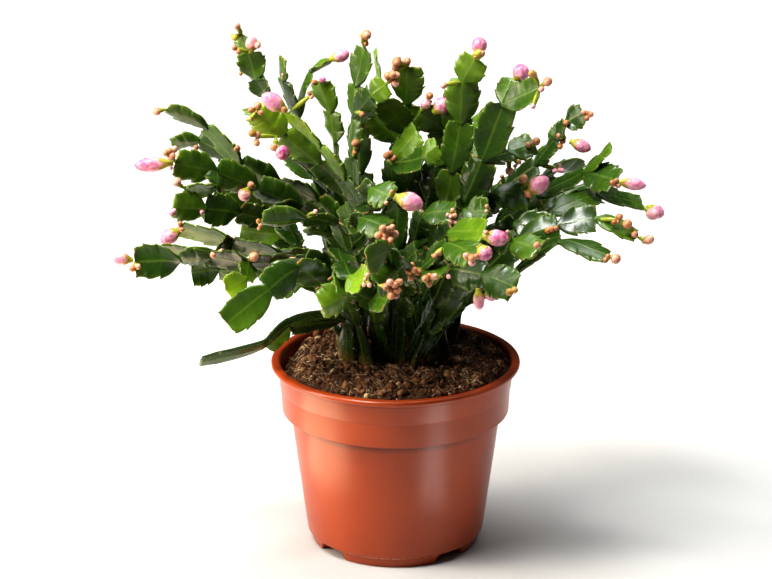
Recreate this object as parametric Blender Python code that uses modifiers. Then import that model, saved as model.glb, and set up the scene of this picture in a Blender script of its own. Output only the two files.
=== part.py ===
"""Potted christmas cactus: a plastic nursery pot, its soil, the jointed flat shoots and the largest buds.

Millimetres are used for every size below and turned into metres where meshes are made. The origin is on
the pot's axis, at the level that its feet stand on. +Z is up and the plant's show side faces -Y.
"""
import math

import bmesh
import bpy
from mathutils import Vector

MM = 0.001

# Pot, turned about +Z
RIM_RADIUS = 65.0
RIM_HEIGHT = 100.0
BAND_TOP_RADIUS = 61.4
BAND_STEP_RADIUS = 60.4
BAND_STEP_HEIGHT = 86.0
LEDGE_RADIUS = 59.4
LEDGE_HEIGHT = 72.5
WALL_TOP_RADIUS = 54.9
WALL_FOOT_RADIUS = 46.4
FLOOR_HEIGHT = 6.0
FLOOR_UNDERSIDE = 4.6
FOOT_RADIUS = 43.6
FOOT_DEPTH = 4.2
WALL = 1.2
BEAD_HEIGHT = 3.4
BEAD_ROUND = 0.5
BAND_LINE = 0.3
TURN_STEPS = 48
MERGE_DISTANCE = 0.05

# Feet: a ring cut by four gaps, the front foot turned a little. The cutters run well past the ring.
FOOT_COUNT = 4
FOOT_TURN = -4.7
GAP_ANGLE_LOW = 26.0
GAP_ANGLE_HIGH = 18.0
GAP_TOP = FLOOR_UNDERSIDE - 0.2
CUTTER_REACH = 6.0
CUTTER_DEPTH = 1.0

# Drain holes through the floor
DRAIN_COUNT = 6
DRAIN_RADIUS = 4.5
DRAIN_CIRCLE = 28.0
DRAIN_STEPS = 12

# Soil
GAP = 0.4
SOIL_TOP = 101.4
SOIL_SHOULDER_RADIUS = 38.0
SOIL_SHOULDER_HEIGHT = 100.6
SOIL_SLOPE_RUN = 6.0
SOIL_EDGE_HEIGHT = 97.0
SOIL_LEDGE_HEIGHT = 74.5

# Sections along one segment of a shoot: share of its length, share of its half width, thickness.
# Inner segments start and end a little short, so that the skin turns smoothly at each joint.
NECK = (0.06, 0.38, 2.6)
SHOULDER = (0.35, 0.85, 3.39)
BLADE = (0.72, 1.0, 3.0)
TIP = (0.97, 0.60, 2.4)
SHOW_SIDE = Vector((0.0, -0.945, 0.328)).normalized()
BACK_SIDE = Vector((0.0, 0.6, 0.8))

# Colours, linear, with roughness
TERRACOTTA = ((0.60, 0.16, 0.07), 0.38)
PEAT = ((0.060, 0.032, 0.016), 0.95)
OLD_GREEN = ((0.035, 0.090, 0.018), 0.36)
YOUNG_GREEN = ((0.160, 0.330, 0.030), 0.36)
PINK = ((0.76, 0.26, 0.38), 0.32)
OLD_TIP_HEIGHT = 150.0
YOUNG_TIP_HEIGHT = 260.0

# A bud's egg outline: share of its radius, share of its length
BUD_OUTLINE = [(0.30, 0.0), (0.62, 0.20), (0.95, 0.42), (1.0, 0.60), (0.78, 0.82), (0.35, 0.96)]
BUD_STEPS = 10

# Each shoot starts at a point, and every later joint is (x, y, z, twist of the blade, width of the blade).
# A twist of 0 turns the flat of the blade to the show side, and 90 turns its edge there.
SHOOTS = {
    "left_shoot_1": [(-25, -12, 104), (-27, -18, 128, 60, 13), (-55, -31, 130, 62, 14),
        (-68, -42, 122, 70, 12), (-98, -55, 118, 64, 15)],
    "left_shoot_2": [(-15, -18, 104), (-20, -22, 127, 60, 13), (-25, -35, 144, 55, 13),
        (-36, -51, 158, 30, 15), (-49, -64, 170, 20, 17), (-63, -70, 161, 12, 18),
        (-83, -74, 145, 5, 18.5)],
    "left_shoot_3": [(-27, -3, 104), (-22, -1, 130, 60, 12), (-33, -13, 147, 60, 14),
        (-53, -21, 159, 30, 16), (-75, -25, 161, 62, 15), (-94, -27, 164, 50, 15),
        (-109, -28, 163, 55, 15), (-132, -26, 161, 8, 18.5)],
    "left_shoot_4": [(-28, 6, 104), (-23, 9, 134, 60, 12), (-40, 3, 154, 55, 14),
        (-60, -1, 158, 62, 15), (-84, -3, 165, 60, 16), (-110, -5, 173, 58, 16.5)],
    "left_shoot_5": [(-17, -10, 104), (-18, -13, 129, 60, 12), (-18, -24, 148, 60, 13),
        (-24, -35, 170, 50, 14), (-30, -45, 188, 55, 14), (-45, -51, 192, 62, 15),
        (-66, -57, 193, 55, 16)],
    "left_shoot_6": [(-29, 15, 104), (-20, 21, 133, 60, 12), (-28, 27, 153, 50, 14),
        (-50, 29, 174, 40, 16), (-72, 25, 185, 35, 17), (-93, 17, 196, 18, 18), (-113, 9, 203, 18, 18)],
    "left_shoot_7": [(-19, 18, 104), (-16, 31, 132, 60, 12), (-23, 35, 153, 50, 14),
        (-41, 37, 175, 45, 16), (-61, 35, 185, 50, 16), (-81, 31, 197, 45, 16), (-98, 27, 217, 55, 15),
        (-118, 25, 227, 60, 14)],
    "left_shoot_8": [(-52, 27, 167), (-66, 20, 170, 40, 16), (-81, 11, 176, 40, 17),
        (-98, 4, 180, 12, 18), (-114, -2, 183, 25, 17.5)],
    "left_shoot_10": [(-84, 37, 193), (-103, 41, 206, 35, 15), (-117, 43, 202, 60, 14)],
    "left_shoot_11": [(-78, -11, 166), (-92, -15, 162, 55, 14), (-120, -19, 165, 62, 15)],
    "tall_left_shoot_1": [(-10, 4, 104), (-11, 4, 138, 60, 13), (-15, 4, 164, 50, 15),
        (-22, 2, 187, 50, 16), (-39, -4, 207, 40, 17), (-56, -9, 223, 25, 17)],
    "tall_left_shoot_2": [(-58, -3, 223), (-65, 2, 240, 50, 14), (-70, 3, 249, 45, 14),
        (-74, 1, 263, 10, 15)],
    "tall_left_shoot_3": [(-60, -15, 224), (-70, -14, 237, 10, 18)],
    "tall_left_shoot_4": [(-7, -6, 104), (-6, -10, 140, 60, 13), (-11, -14, 166, 55, 15),
        (-17, -18, 188, 60, 16), (-26, -22, 204, 62, 16), (-38, -26, 222, 72, 16),
        (-53, -30, 240, 74, 16)],
    "tall_left_shoot_5": [(-4, 20, 104), (-6, 24, 123, 60, 12), (-13, 36, 140, 60, 13),
        (-23, 43, 161, 55, 14), (-35, 47, 177, 60, 15), (-46, 47, 198, 66, 16), (-51, 47, 216, 68, 14),
        (-44, 45, 242, 78, 15), (-34, 43, 248, 76, 13)],
    "tall_left_shoot_6": [(-52, 41, 221), (-58, 37, 239, 66, 15), (-59, 35, 252, 74, 12)],
    "tall_left_shoot_7": [(-11, 22, 104), (-15, 38, 123, 60, 12), (-18, 49, 136, 60, 13),
        (-29, 62, 147, 70, 13), (-31, 65, 162, 82, 14), (-31, 67, 179, 84, 14), (-32, 67, 197, 84, 14),
        (-34, 65, 215, 50, 16), (-40, 63, 232, 42, 16)],
    "tall_left_shoot_8": [(-68, 10, 240), (-76, 15, 255, 60, 13), (-78, 17, 268, 55, 13)],
    "crown_shoot_1": [(-3, 10, 104), (-4, 14, 135, 60, 13), (-11, 18, 159, 55, 14),
        (-19, 20, 177, 55, 15), (-22, 22, 202, 58, 15), (-21, 24, 223, 60, 14), (-20, 24, 240, 45, 15),
        (-16, 22, 260, 40, 15)],
    "crown_shoot_3": [(3, 13, 104), (1, 25, 127, 60, 14), (1, 30, 150, 50, 16), (2, 31, 174, 45, 16),
        (7, 30, 195, 45, 16), (8, 27, 213, 45, 17), (6, 23, 231, 30, 18), (6, 19, 251, 12, 18)],
    "crown_shoot_4": [(3, 38, 192), (1, 44, 205, 20, 17), (-15, 47, 220, 15, 18)],
    "crown_shoot_6": [(4, 23, 181), (-1, 16, 200, 40, 16), (11, 8, 220, 40, 17)],
    "crown_shoot_7": [(8, 6, 104), (5, 10, 130, 55, 14), (11, 19, 154, 45, 16), (18, 20, 177, 35, 17),
        (21, 18, 199, 20, 18), (25, 17, 218, 15, 18), (12, 14, 228, 25, 16)],
    "crown_shoot_9": [(15, 3, 104), (10, 5, 130, 55, 14), (19, 5, 157, 45, 16), (26, 5, 180, 35, 17),
        (29, 4, 200, 20, 17), (33, 1, 227, 15, 17), (34, -3, 249, 5, 18.5), (40, -8, 262, 12, 17)],
    "right_shoot_1": [(17, -4, 104), (15, -7, 134, 55, 14), (27, -7, 160, 45, 16),
        (35, -4, 184, 35, 17), (44, -6, 209, 15, 18), (54, -10, 239, 8, 19)],
    "right_shoot_2": [(56, -14, 242), (71, -26, 252, 20, 15)],
    "right_shoot_4": [(46, 4, 206), (58, 10, 208, 40, 15), (71, 14, 212, 30, 16)],
    "right_shoot_5": [(12, 19, 104), (16, 29, 127, 55, 13), (30, 37, 148, 45, 15),
        (45, 42, 165, 45, 16), (58, 42, 179, 45, 16), (74, 40, 193, 45, 16), (84, 36, 208, 62, 14),
        (88, 32, 217, 60, 12), (97, 28, 224, 20, 14)],
    "right_shoot_6": [(19, 11, 104), (18, 16, 127, 55, 13), (34, 21, 145, 50, 15),
        (54, 25, 163, 45, 16), (75, 25, 180, 35, 17), (98, 22, 194, 55, 14), (111, 18, 209, 72, 13)],
    "right_shoot_7": [(95, 12, 193), (113, 3, 195, 20, 18)],
    "right_shoot_8": [(22, 2, 104), (21, 4, 129, 55, 13), (39, 6, 147, 50, 15), (60, 7, 161, 45, 16),
        (80, 5, 177, 40, 17), (105, 17, 183, 45, 17), (129, 26, 175, 55, 15)],
    "right_shoot_9": [(24, -8, 104), (23, -10, 131, 55, 13), (42, -16, 148, 50, 15),
        (63, -20, 171, 30, 16), (82, -22, 179, 20, 17), (101, -24, 183, 25, 17),
        (121, -28, 175, 50, 14)],
    "right_shoot_10": [(13, -13, 104), (25, -21, 125, 70, 14), (36, -29, 140, 68, 13),
        (59, -40, 160, 66, 15), (81, -52, 180, 66, 14), (104, -62, 176, 50, 15)],
    "right_shoot_11": [(7, -17, 104), (14, -22, 124, 60, 13), (19, -33, 140, 60, 13),
        (27, -52, 165, 30, 17), (43, -68, 168, 12, 18.5), (58, -81, 166, 10, 18.5)],
    "right_shoot_12": [(20, -19, 167), (27, -41, 181, 30, 15), (43, -64, 189, 30, 18)],
    "right_shoot_14": [(53, -3, 169), (61, -10, 176, 30, 15), (80, -18, 175, 12, 18)],
    "right_shoot_16": [(42, 15, 176), (50, 11, 185, 30, 15), (69, 5, 186, 20, 17)],
    "front_shoot_1": [(1, -16, 104), (2, -26, 133, 55, 14), (4, -46, 151, 45, 15),
        (2, -68, 167, 40, 16), (-1, -90, 179, 35, 16), (-9, -106, 176, 30, 16)],
    "front_shoot_2": [(-7, -13, 104), (-10, -28, 130, 50, 15), (-12, -48, 149, 40, 16),
        (-4, -67, 155, 20, 17)],
    "front_shoot_3": [(-17, -48, 148), (-21, -57, 156, 40, 15), (-37, -66, 151, 20, 18)],
    "front_shoot_5": [(-11, -30, 171), (-14, -45, 183, 45, 14), (-17, -60, 194, 40, 15),
        (-5, -73, 194, 30, 16)],
    "front_shoot_7": [(9, -63, 162), (13, -77, 174, 40, 14), (22, -90, 175, 30, 16)],
    "front_shoot_9": [(-29, -54, 176), (-26, -70, 175, 45, 14), (-22, -86, 173, 40, 15),
        (-14, -98, 175, 15, 16)],
    "front_shoot_10": [(-10, -26, 179), (-12, -40, 194, 50, 14), (-12, -56, 208, 40, 15),
        (-3, -65, 207, 20, 17)],
    "back_shoot_1": [(28, 18, 104), (34, 28, 132, 60, 13), (53, 33, 158, 40, 15),
        (74, 40, 178, 25, 16), (86, 63, 186, 15, 17), (98, 77, 178, 10, 17)],
    "back_shoot_2": [(18, 29, 104), (19, 41, 134, 60, 13), (31, 50, 164, 40, 15),
        (45, 62, 188, 25, 16), (46, 85, 204, 15, 17), (52, 103, 208, 10, 17)],
    "back_shoot_3": [(7, 30, 104), (6, 42, 130, 60, 13), (15, 56, 150, 40, 15), (25, 72, 162, 25, 16),
        (18, 90, 164, 15, 17), (18, 107, 154, 10, 17)],
    "back_shoot_4": [(-1, 34, 104), (-6, 42, 136, 60, 13), (0, 52, 168, 40, 15), (4, 66, 198, 25, 16),
        (-7, 82, 222, 15, 17), (-11, 95, 240, 10, 17)],
    "back_shoot_5": [(-21, 26, 104), (-32, 36, 136, 60, 13), (-38, 53, 166, 40, 15),
        (-44, 71, 190, 25, 16), (-65, 77, 206, 15, 17), (-79, 87, 210, 10, 17)],
    "back_shoot_6": [(-28, 21, 104), (-41, 25, 128, 60, 13), (-52, 41, 148, 40, 15),
        (-64, 58, 160, 25, 16), (-88, 60, 164, 15, 17), (-105, 67, 156, 10, 17)],
}

# Each big bud is (base point, tip point, radius).
BUDS = {
    "bud_left_1": ((-133, -26, 162), (-142, -28, 164), 3.9),
    "bud_left_2": ((-112, -6, 171), (-120, -8, 164), 3.9),
    "bud_left_3": ((-115, 9, 203), (-135, 7, 202), 3.9),
    "bud_tall_left": ((-54, -31, 242), (-65, -34, 250), 4.6),
    "bud_crown": ((41, -7, 264), (42, -9, 273), 3.9),
    "bud_right_1": ((90, 25, 210), (101, 23, 206), 3.4),
    "bud_right_2": ((131, 27, 174), (140, 24, 170), 3.7),
    "bud_front": ((-1, -67, 208), (11, -69, 204), 4.7),
}


def makeCollection(name):
    collection = bpy.data.collections.new(name)
    bpy.context.scene.collection.children.link(collection)
    return collection


def addObject(name, mesh, collection, finish=None):
    """Link a named object and give it a Principled material of its own."""
    obj = bpy.data.objects.new(name, mesh)
    collection.objects.link(obj)
    if finish:
        colour, roughness = finish
        material = bpy.data.materials.new(name + "_surface")
        material.use_nodes = True
        shader = material.node_tree.nodes["Principled BSDF"]
        shader.inputs["Base Color"].default_value = (*colour, 1.0)
        shader.inputs["Roughness"].default_value = roughness
        shader.inputs["Metallic"].default_value = 0.0
        mesh.materials.append(material)
    return obj


def turned(name, profile, steps, collection, finish):
    """A profile of (radius, height) in mm, from axis to axis, spun about Z by a Screw modifier."""
    mesh = bpy.data.meshes.new(name)
    points = [(radius * MM, 0.0, height * MM) for radius, height in profile]
    mesh.from_pydata(points, [(i, i + 1) for i in range(len(points) - 1)], [])
    obj = addObject(name, mesh, collection, finish)
    screw = obj.modifiers.new("Spin", "SCREW")
    screw.steps = steps
    screw.render_steps = steps
    screw.use_merge_vertices = True
    screw.merge_threshold = MERGE_DISTANCE * MM
    screw.use_smooth_shade = True
    return obj


def cut(obj, cutter):
    """Take a cutter away from an object."""
    cutter.hide_render = True
    cutter.display_type = "WIRE"
    boolean = obj.modifiers.new("Cut " + cutter.name, "BOOLEAN")
    boolean.operation = "DIFFERENCE"
    boolean.solver = "EXACT"
    boolean.object = cutter


def potProfile():
    """Up the inside, over the rolled rim, down the outside, under the foot ring and back to the axis."""
    slope = (WALL_TOP_RADIUS - WALL_FOOT_RADIUS) / (LEDGE_HEIGHT - FLOOR_HEIGHT)
    innerFoot = WALL_FOOT_RADIUS - WALL
    innerTop = WALL_TOP_RADIUS - WALL
    return [
        (0.0, FLOOR_HEIGHT),
        (innerFoot - 1.0, FLOOR_HEIGHT),
        (innerFoot + slope, FLOOR_HEIGHT + 1.0),
        (innerTop, LEDGE_HEIGHT + 0.6),
        (LEDGE_RADIUS - WALL - 0.4, LEDGE_HEIGHT + 1.3),
        (LEDGE_RADIUS - WALL + 0.2, LEDGE_HEIGHT + 2.2),
        (BAND_TOP_RADIUS - WALL, RIM_HEIGHT - BEAD_HEIGHT),
        (BAND_TOP_RADIUS - WALL + 1.0, RIM_HEIGHT - 0.4),
        (RIM_RADIUS - 2.2, RIM_HEIGHT),
        (RIM_RADIUS - BEAD_ROUND, RIM_HEIGHT - BEAD_ROUND),
        (RIM_RADIUS, RIM_HEIGHT - BEAD_HEIGHT / 2 + 0.1),
        (RIM_RADIUS - BEAD_ROUND, RIM_HEIGHT - BEAD_HEIGHT + 0.6),
        (BAND_TOP_RADIUS, RIM_HEIGHT - BEAD_HEIGHT),
        (BAND_STEP_RADIUS, BAND_STEP_HEIGHT),
        (BAND_STEP_RADIUS - BAND_LINE, BAND_STEP_HEIGHT - BAND_LINE),
        (LEDGE_RADIUS, LEDGE_HEIGHT + 0.8),
        (LEDGE_RADIUS - 0.8, LEDGE_HEIGHT),
        (WALL_TOP_RADIUS, LEDGE_HEIGHT - 0.6),
        (WALL_FOOT_RADIUS, FLOOR_HEIGHT),
        (FOOT_RADIUS + 0.9, FLOOR_HEIGHT - 0.8),
        (FOOT_RADIUS, 0.0),
        (FOOT_RADIUS - FOOT_DEPTH, 0.0),
        (FOOT_RADIUS - FOOT_DEPTH, FLOOR_UNDERSIDE),
        (0.0, FLOOR_UNDERSIDE),
    ]


def footGapCutter(index, collection):
    """A block through the foot ring, narrower at its top, between two feet."""
    mesh = bpy.data.meshes.new("foot_gap_%d" % index)
    block = bmesh.new()
    bmesh.ops.create_cube(block, size=1.0)
    low = 2.0 * FOOT_RADIUS * math.sin(math.radians(GAP_ANGLE_LOW) / 2)
    high = 2.0 * FOOT_RADIUS * math.sin(math.radians(GAP_ANGLE_HIGH) / 2)
    for vertex in block.verts:
        width = high if vertex.co.z > 0 else low
        top = GAP_TOP if vertex.co.z > 0 else -CUTTER_DEPTH
        reach = FOOT_RADIUS + 1.0 + (CUTTER_REACH - 1.0) * vertex.co.x * 2.0
        vertex.co = Vector((reach * MM, vertex.co.y * width * MM, top * MM))
    block.to_mesh(mesh)
    block.free()
    cutter = addObject("foot_gap_%d" % index, mesh, collection)
    cutter.rotation_euler.z = math.radians(-90.0 + FOOT_TURN + 360.0 / FOOT_COUNT * (index + 0.5))
    return cutter


def drainCutter(index, collection):
    """A round rod through the floor."""
    mesh = bpy.data.meshes.new("drain_%d" % index)
    rod = bmesh.new()
    bmesh.ops.create_cone(rod, cap_ends=True, segments=DRAIN_STEPS, depth=4 * FLOOR_HEIGHT * MM,
                          radius1=DRAIN_RADIUS * MM, radius2=DRAIN_RADIUS * MM)
    rod.to_mesh(mesh)
    rod.free()
    cutter = addObject("drain_%d" % index, mesh, collection)
    bearing = math.tau * (index + 0.5) / DRAIN_COUNT
    cutter.location = (DRAIN_CIRCLE * MM * math.cos(bearing), DRAIN_CIRCLE * MM * math.sin(bearing), 0.0)
    return cutter


def makePot(collection, cutters):
    pot = turned("pot", potProfile(), TURN_STEPS, collection, TERRACOTTA)
    for index in range(FOOT_COUNT):
        cut(pot, footGapCutter(index, cutters))
    for index in range(DRAIN_COUNT):
        cut(pot, drainCutter(index, cutters))
    return pot


def makeSoil(collection):
    """The root ball: it fills the pot with a small gap and mounds up to the middle."""
    bottom = WALL_FOOT_RADIUS - WALL - GAP - 1.2
    top = WALL_TOP_RADIUS - WALL - GAP
    ledge = LEDGE_RADIUS - WALL - 2 * GAP
    edge = BAND_TOP_RADIUS - WALL - 2 * GAP
    profile = [
        (0.0, SOIL_TOP),
        (SOIL_SHOULDER_RADIUS, SOIL_SHOULDER_HEIGHT),
        (edge - SOIL_SLOPE_RUN, SOIL_EDGE_HEIGHT + 1.2),
        (edge - 0.6, SOIL_EDGE_HEIGHT - 1.5),
        (edge - 1.1, SOIL_EDGE_HEIGHT - 5.0),
        (ledge, SOIL_LEDGE_HEIGHT + 1.0),
        (ledge - 0.8, SOIL_LEDGE_HEIGHT - 0.2),
        (top, SOIL_LEDGE_HEIGHT - 1.0),
        (bottom, FLOOR_HEIGHT + GAP),
        (0.0, FLOOR_HEIGHT + GAP),
    ]
    return turned("soil", profile, TURN_STEPS, collection, PEAT)


def stationsOf(isFirst, isLast):
    """The four sections of a segment, run out to the shoot's two ends."""
    start = 0.0 if isFirst else NECK[0]
    end = 1.0 if isLast else TIP[0]
    return [(start, *NECK[1:]), SHOULDER, BLADE, (end, *TIP[1:])]


def shootRings(joints, side):
    """Diamond sections with a midrib front and back, carried from joint to joint."""
    rings = []
    last = len(joints) - 1
    for number in range(1, len(joints)):
        before = Vector(joints[number - 1][:3])
        after = Vector(joints[number][:3])
        twist = math.radians(joints[number][3])
        width = joints[number][4]
        along = (after - before).normalized()
        level = along.cross(side).normalized()
        across = math.cos(twist) * level + math.sin(twist) * level.cross(along)
        out = along.cross(across)
        for share, widthShare, thickness in stationsOf(number == 1, number == last):
            middle = before.lerp(after, share)
            reach = across * (width / 2 * widthShare)
            rib = out * (thickness / 2)
            rings.append([middle + reach, middle + rib, middle - reach, middle - rib])
    return rings


def loft(name, rings):
    """Skin unlike rings of four points, and close both ends."""
    points = [corner * MM for ring in rings for corner in ring]
    size = 4
    faces = []
    for row in range(len(rings) - 1):
        for column in range(size):
            a = row * size + column
            b = row * size + (column + 1) % size
            faces.append((a, b, b + size, a + size))
    faces.append(tuple(reversed(range(size))))
    faces.append(tuple(range(len(points) - size, len(points))))
    mesh = bpy.data.meshes.new(name)
    mesh.from_pydata(points, [], faces)
    return mesh


def makeShoot(name, joints, collection):
    side = BACK_SIDE if name.startswith("back") else SHOW_SIDE
    youth = (joints[-1][2] - OLD_TIP_HEIGHT) / (YOUNG_TIP_HEIGHT - OLD_TIP_HEIGHT)
    youth = min(1.0, max(0.0, youth))
    old, roughness = OLD_GREEN
    colour = tuple(o + youth * (y - o) for o, y in zip(old, YOUNG_GREEN[0]))
    mesh = loft(name, shootRings(joints, side))
    return addObject(name, mesh, collection, (colour, roughness))


def makeBud(name, base, tip, radius, collection):
    """An egg on a short neck, turned about its own axis and aimed from base to tip."""
    base = Vector(base)
    axis = Vector(tip) - base
    length = axis.length
    profile = [(0.0, length)]
    profile += [(radius * share, length * height) for share, height in reversed(BUD_OUTLINE)]
    profile += [(0.0, 0.0)]
    bud = turned(name, profile, BUD_STEPS, collection, PINK)
    bud.location = base * MM
    bud.rotation_mode = "QUATERNION"
    bud.rotation_quaternion = axis.to_track_quat("Z", "Y")
    return bud


def main():
    for obj in list(bpy.data.objects):
        bpy.data.objects.remove(obj, do_unlink=True)
    plant = makeCollection("potted_christmas_cactus")
    cutters = makeCollection("cutters")
    makePot(plant, cutters)
    makeSoil(plant)
    for name, joints in SHOOTS.items():
        makeShoot(name, joints, plant)
    for name, (base, tip, radius) in BUDS.items():
        makeBud(name, base, tip, radius, plant)


main()
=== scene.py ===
import math

import bpy
import numpy as np
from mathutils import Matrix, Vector


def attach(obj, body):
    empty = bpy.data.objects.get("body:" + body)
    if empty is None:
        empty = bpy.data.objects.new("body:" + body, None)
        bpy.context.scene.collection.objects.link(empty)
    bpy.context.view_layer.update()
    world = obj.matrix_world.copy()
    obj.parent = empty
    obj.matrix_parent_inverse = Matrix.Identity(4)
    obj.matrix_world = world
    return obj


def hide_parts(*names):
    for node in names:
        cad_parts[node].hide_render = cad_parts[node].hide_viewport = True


# A christmas cactus in a plastic nursery pot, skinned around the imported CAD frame.
# Sizes and places are in millimetres until a mesh is made. Every new piece is a stack of closed rings.

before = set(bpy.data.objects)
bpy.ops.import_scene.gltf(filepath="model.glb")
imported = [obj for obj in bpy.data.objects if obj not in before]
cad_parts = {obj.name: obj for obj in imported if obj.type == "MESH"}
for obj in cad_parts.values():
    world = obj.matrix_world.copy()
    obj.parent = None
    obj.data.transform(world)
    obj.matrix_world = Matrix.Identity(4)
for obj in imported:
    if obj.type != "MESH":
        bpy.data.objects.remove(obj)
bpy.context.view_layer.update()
mm = 0.001
showSide = np.array([0.0, -0.945, 0.328])
backSide = np.array([0.0, 0.6, 0.8])


# Rings, meshes and noise

def skin(name, rings, material, attributes=None, standsFor=None):
    # rings[n, r, c] is a point of shell n, row r and column c. Columns run round the ring, so faces join
    # each point to the next column and the next row, and each end ring is zipped flat: c to count - c.
    shells, rows, count = rings.shape[:3]
    r, c = np.meshgrid(np.arange(rows - 1), np.arange(count), indexing="ij")
    nextColumn = (c + 1) % count
    quads = np.stack([r * count + c, r * count + nextColumn,
                      (r + 1) * count + nextColumn, (r + 1) * count + c], -1).reshape(-1, 4)
    k = np.arange(1, count // 2 - 1)
    zipped = np.stack([k, count - k, count - k - 1, k + 1], -1)
    points = np.array([[0, count - 1, 1], [count // 2 - 1, count // 2 + 1, count // 2]])
    last = (rows - 1) * count
    quads = np.concatenate([quads, zipped, zipped[:, ::-1] + last])
    threes = np.concatenate([points, points[:, ::-1] + last])
    shift = (np.arange(shells) * rows * count)[:, None, None]
    quads = (quads[None] + shift).reshape(-1, 4)
    threes = (threes[None] + shift).reshape(-1, 3)
    flat = rings.reshape(-1, 3) * mm
    # the signed volume of the shells tells whether the faces point outwards
    a, b, d, e = (flat[quads[:, i]] for i in range(4))
    volume = (a * np.cross(b, d)).sum() + (a * np.cross(d, e)).sum()
    if volume < 0:
        quads, threes = quads[:, ::-1], threes[:, ::-1]
    mesh = bpy.data.meshes.new(name)
    mesh.from_pydata(flat, [], quads.tolist() + threes.tolist())
    mesh.polygons.foreach_set("use_smooth", np.ones(len(mesh.polygons), bool))
    for label, values in (attributes or {}).items():
        layer = mesh.attributes.new(label, "FLOAT", "POINT")
        layer.data.foreach_set("value", np.broadcast_to(values, rings.shape[:3]).ravel().astype(np.float32))
    mesh.materials.append(material)
    piece = bpy.data.objects.new(name, mesh)
    bpy.context.scene.collection.objects.link(piece)
    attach(piece, "root")
    if standsFor:
        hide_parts(standsFor)
    return piece


def turnedRings(radius, height, count):
    # a profile of radius and height carried round the Z axis: x = radius cos a, y = radius sin a
    turn = np.linspace(0, math.tau, count, endpoint=False)
    radius = np.asarray(radius, float)[:, None] + 0 * turn
    height = np.asarray(height, float)[:, None] + 0 * turn
    return np.stack([radius * np.cos(turn), radius * np.sin(turn), height], -1)


def lumps(x, y, cell, seed):
    # value noise from -1 to 1: random heights on a square lattice, eased between by 3t2 - 2t3
    table = np.random.default_rng(seed).uniform(-1, 1, (64, 64))
    i, j = np.floor(x / cell).astype(int), np.floor(y / cell).astype(int)
    u, v = x / cell - i, y / cell - j
    u, v = u * u * (3 - 2 * u), v * v * (3 - 2 * v)
    corner = lambda p, q: table[(i + p) % 64, (j + q) % 64]
    near = corner(0, 0) * (1 - u) + corner(1, 0) * u
    far = corner(0, 1) * (1 - u) + corner(1, 1) * u
    return near * (1 - v) + far * v


def unit(vectors):
    return vectors / np.linalg.norm(vectors, axis=-1, keepdims=True)


# Materials

def linear(hexColour):
    # sRGB hex to linear light, with full alpha
    parts = np.array([int(hexColour[i:i + 2], 16) for i in (1, 3, 5)]) / 255
    parts = np.where(parts <= 0.04045, parts / 12.92, ((parts + 0.055) / 1.055) ** 2.4)
    return (*parts.tolist(), 1.0)


def addNode(tree, kind, settings=None, links=None):
    # adds a node, sets its properties or sockets by name or number, and links what feeds it
    node = tree.nodes.new(kind)
    for key, value in (settings or {}).items():
        if key == "stops":
            ramp = node.color_ramp
            while len(ramp.elements) < len(value):
                ramp.elements.new(0.5)
            for element, (place, colour) in zip(ramp.elements, value):
                element.position = place
                element.color = linear(colour)
        elif isinstance(key, str) and hasattr(node, key):
            setattr(node, key, value)
        else:
            node.inputs[key].default_value = value
    for key, socket in (links or {}).items():
        tree.links.new(socket, node.inputs[key])
    return node


def newMaterial(name):
    material = bpy.data.materials.new(name)
    material.use_nodes = True
    tree = material.node_tree
    return material, tree, tree.nodes["Principled BSDF"]


def mottle(tree, scale, detail=3.0, distortion=0.0):
    # noise whose lumps are about so many millimetres across, from Object coordinates in metres
    place = addNode(tree, "ShaderNodeTexCoord").outputs["Object"]
    noise = addNode(tree, "ShaderNodeTexNoise",
                    {"Scale": 1 / (scale * mm), "Detail": detail, "Distortion": distortion},
                    {"Vector": place})
    return noise.outputs["Fac"]


# Terracotta polypropylene, injection moulded: a satin skin, faint flow marks, and painted shade darkening it
# under the ledge and under the rolled rim

pot = {
    "count": 288, "rimRadius": 65.0, "rimHeight": 100.0, "beadHeight": 3.3, "wall": 1.2,
    "bandTop": 61.4, "bandStep": 60.4, "stepHeight": 86.0, "ledge": 59.4, "ledgeHeight": 72.5,
    "wallTop": 54.9, "wallFoot": 46.4, "floor": 6.0, "underside": 4.6, "foot": 43.6, "footDepth": 4.2,
    "feet": 4, "footTurn": -4.7, "gapLow": 26.0, "gapHigh": 18.0, "drains": 6, "drainRadius": 4.5,
    "drainCircle": 28.0,
    # how much painted shade (where shadow falls under the ledge and under the rolled rim), or pale flash from
    # the mould, lies at each height
    "painted_shade": [(67.5, 0.0), (70.6, 0.75), (72.2, 1.0), (73.0, 0.0), (94.9, 0.0), (96.3, 0.85), (97.0, 0.0)],
    "flash": [(4.9, 0.0), (5.2, 1.0), (5.7, 1.0), (6.0, 0.0)],
}


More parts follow.
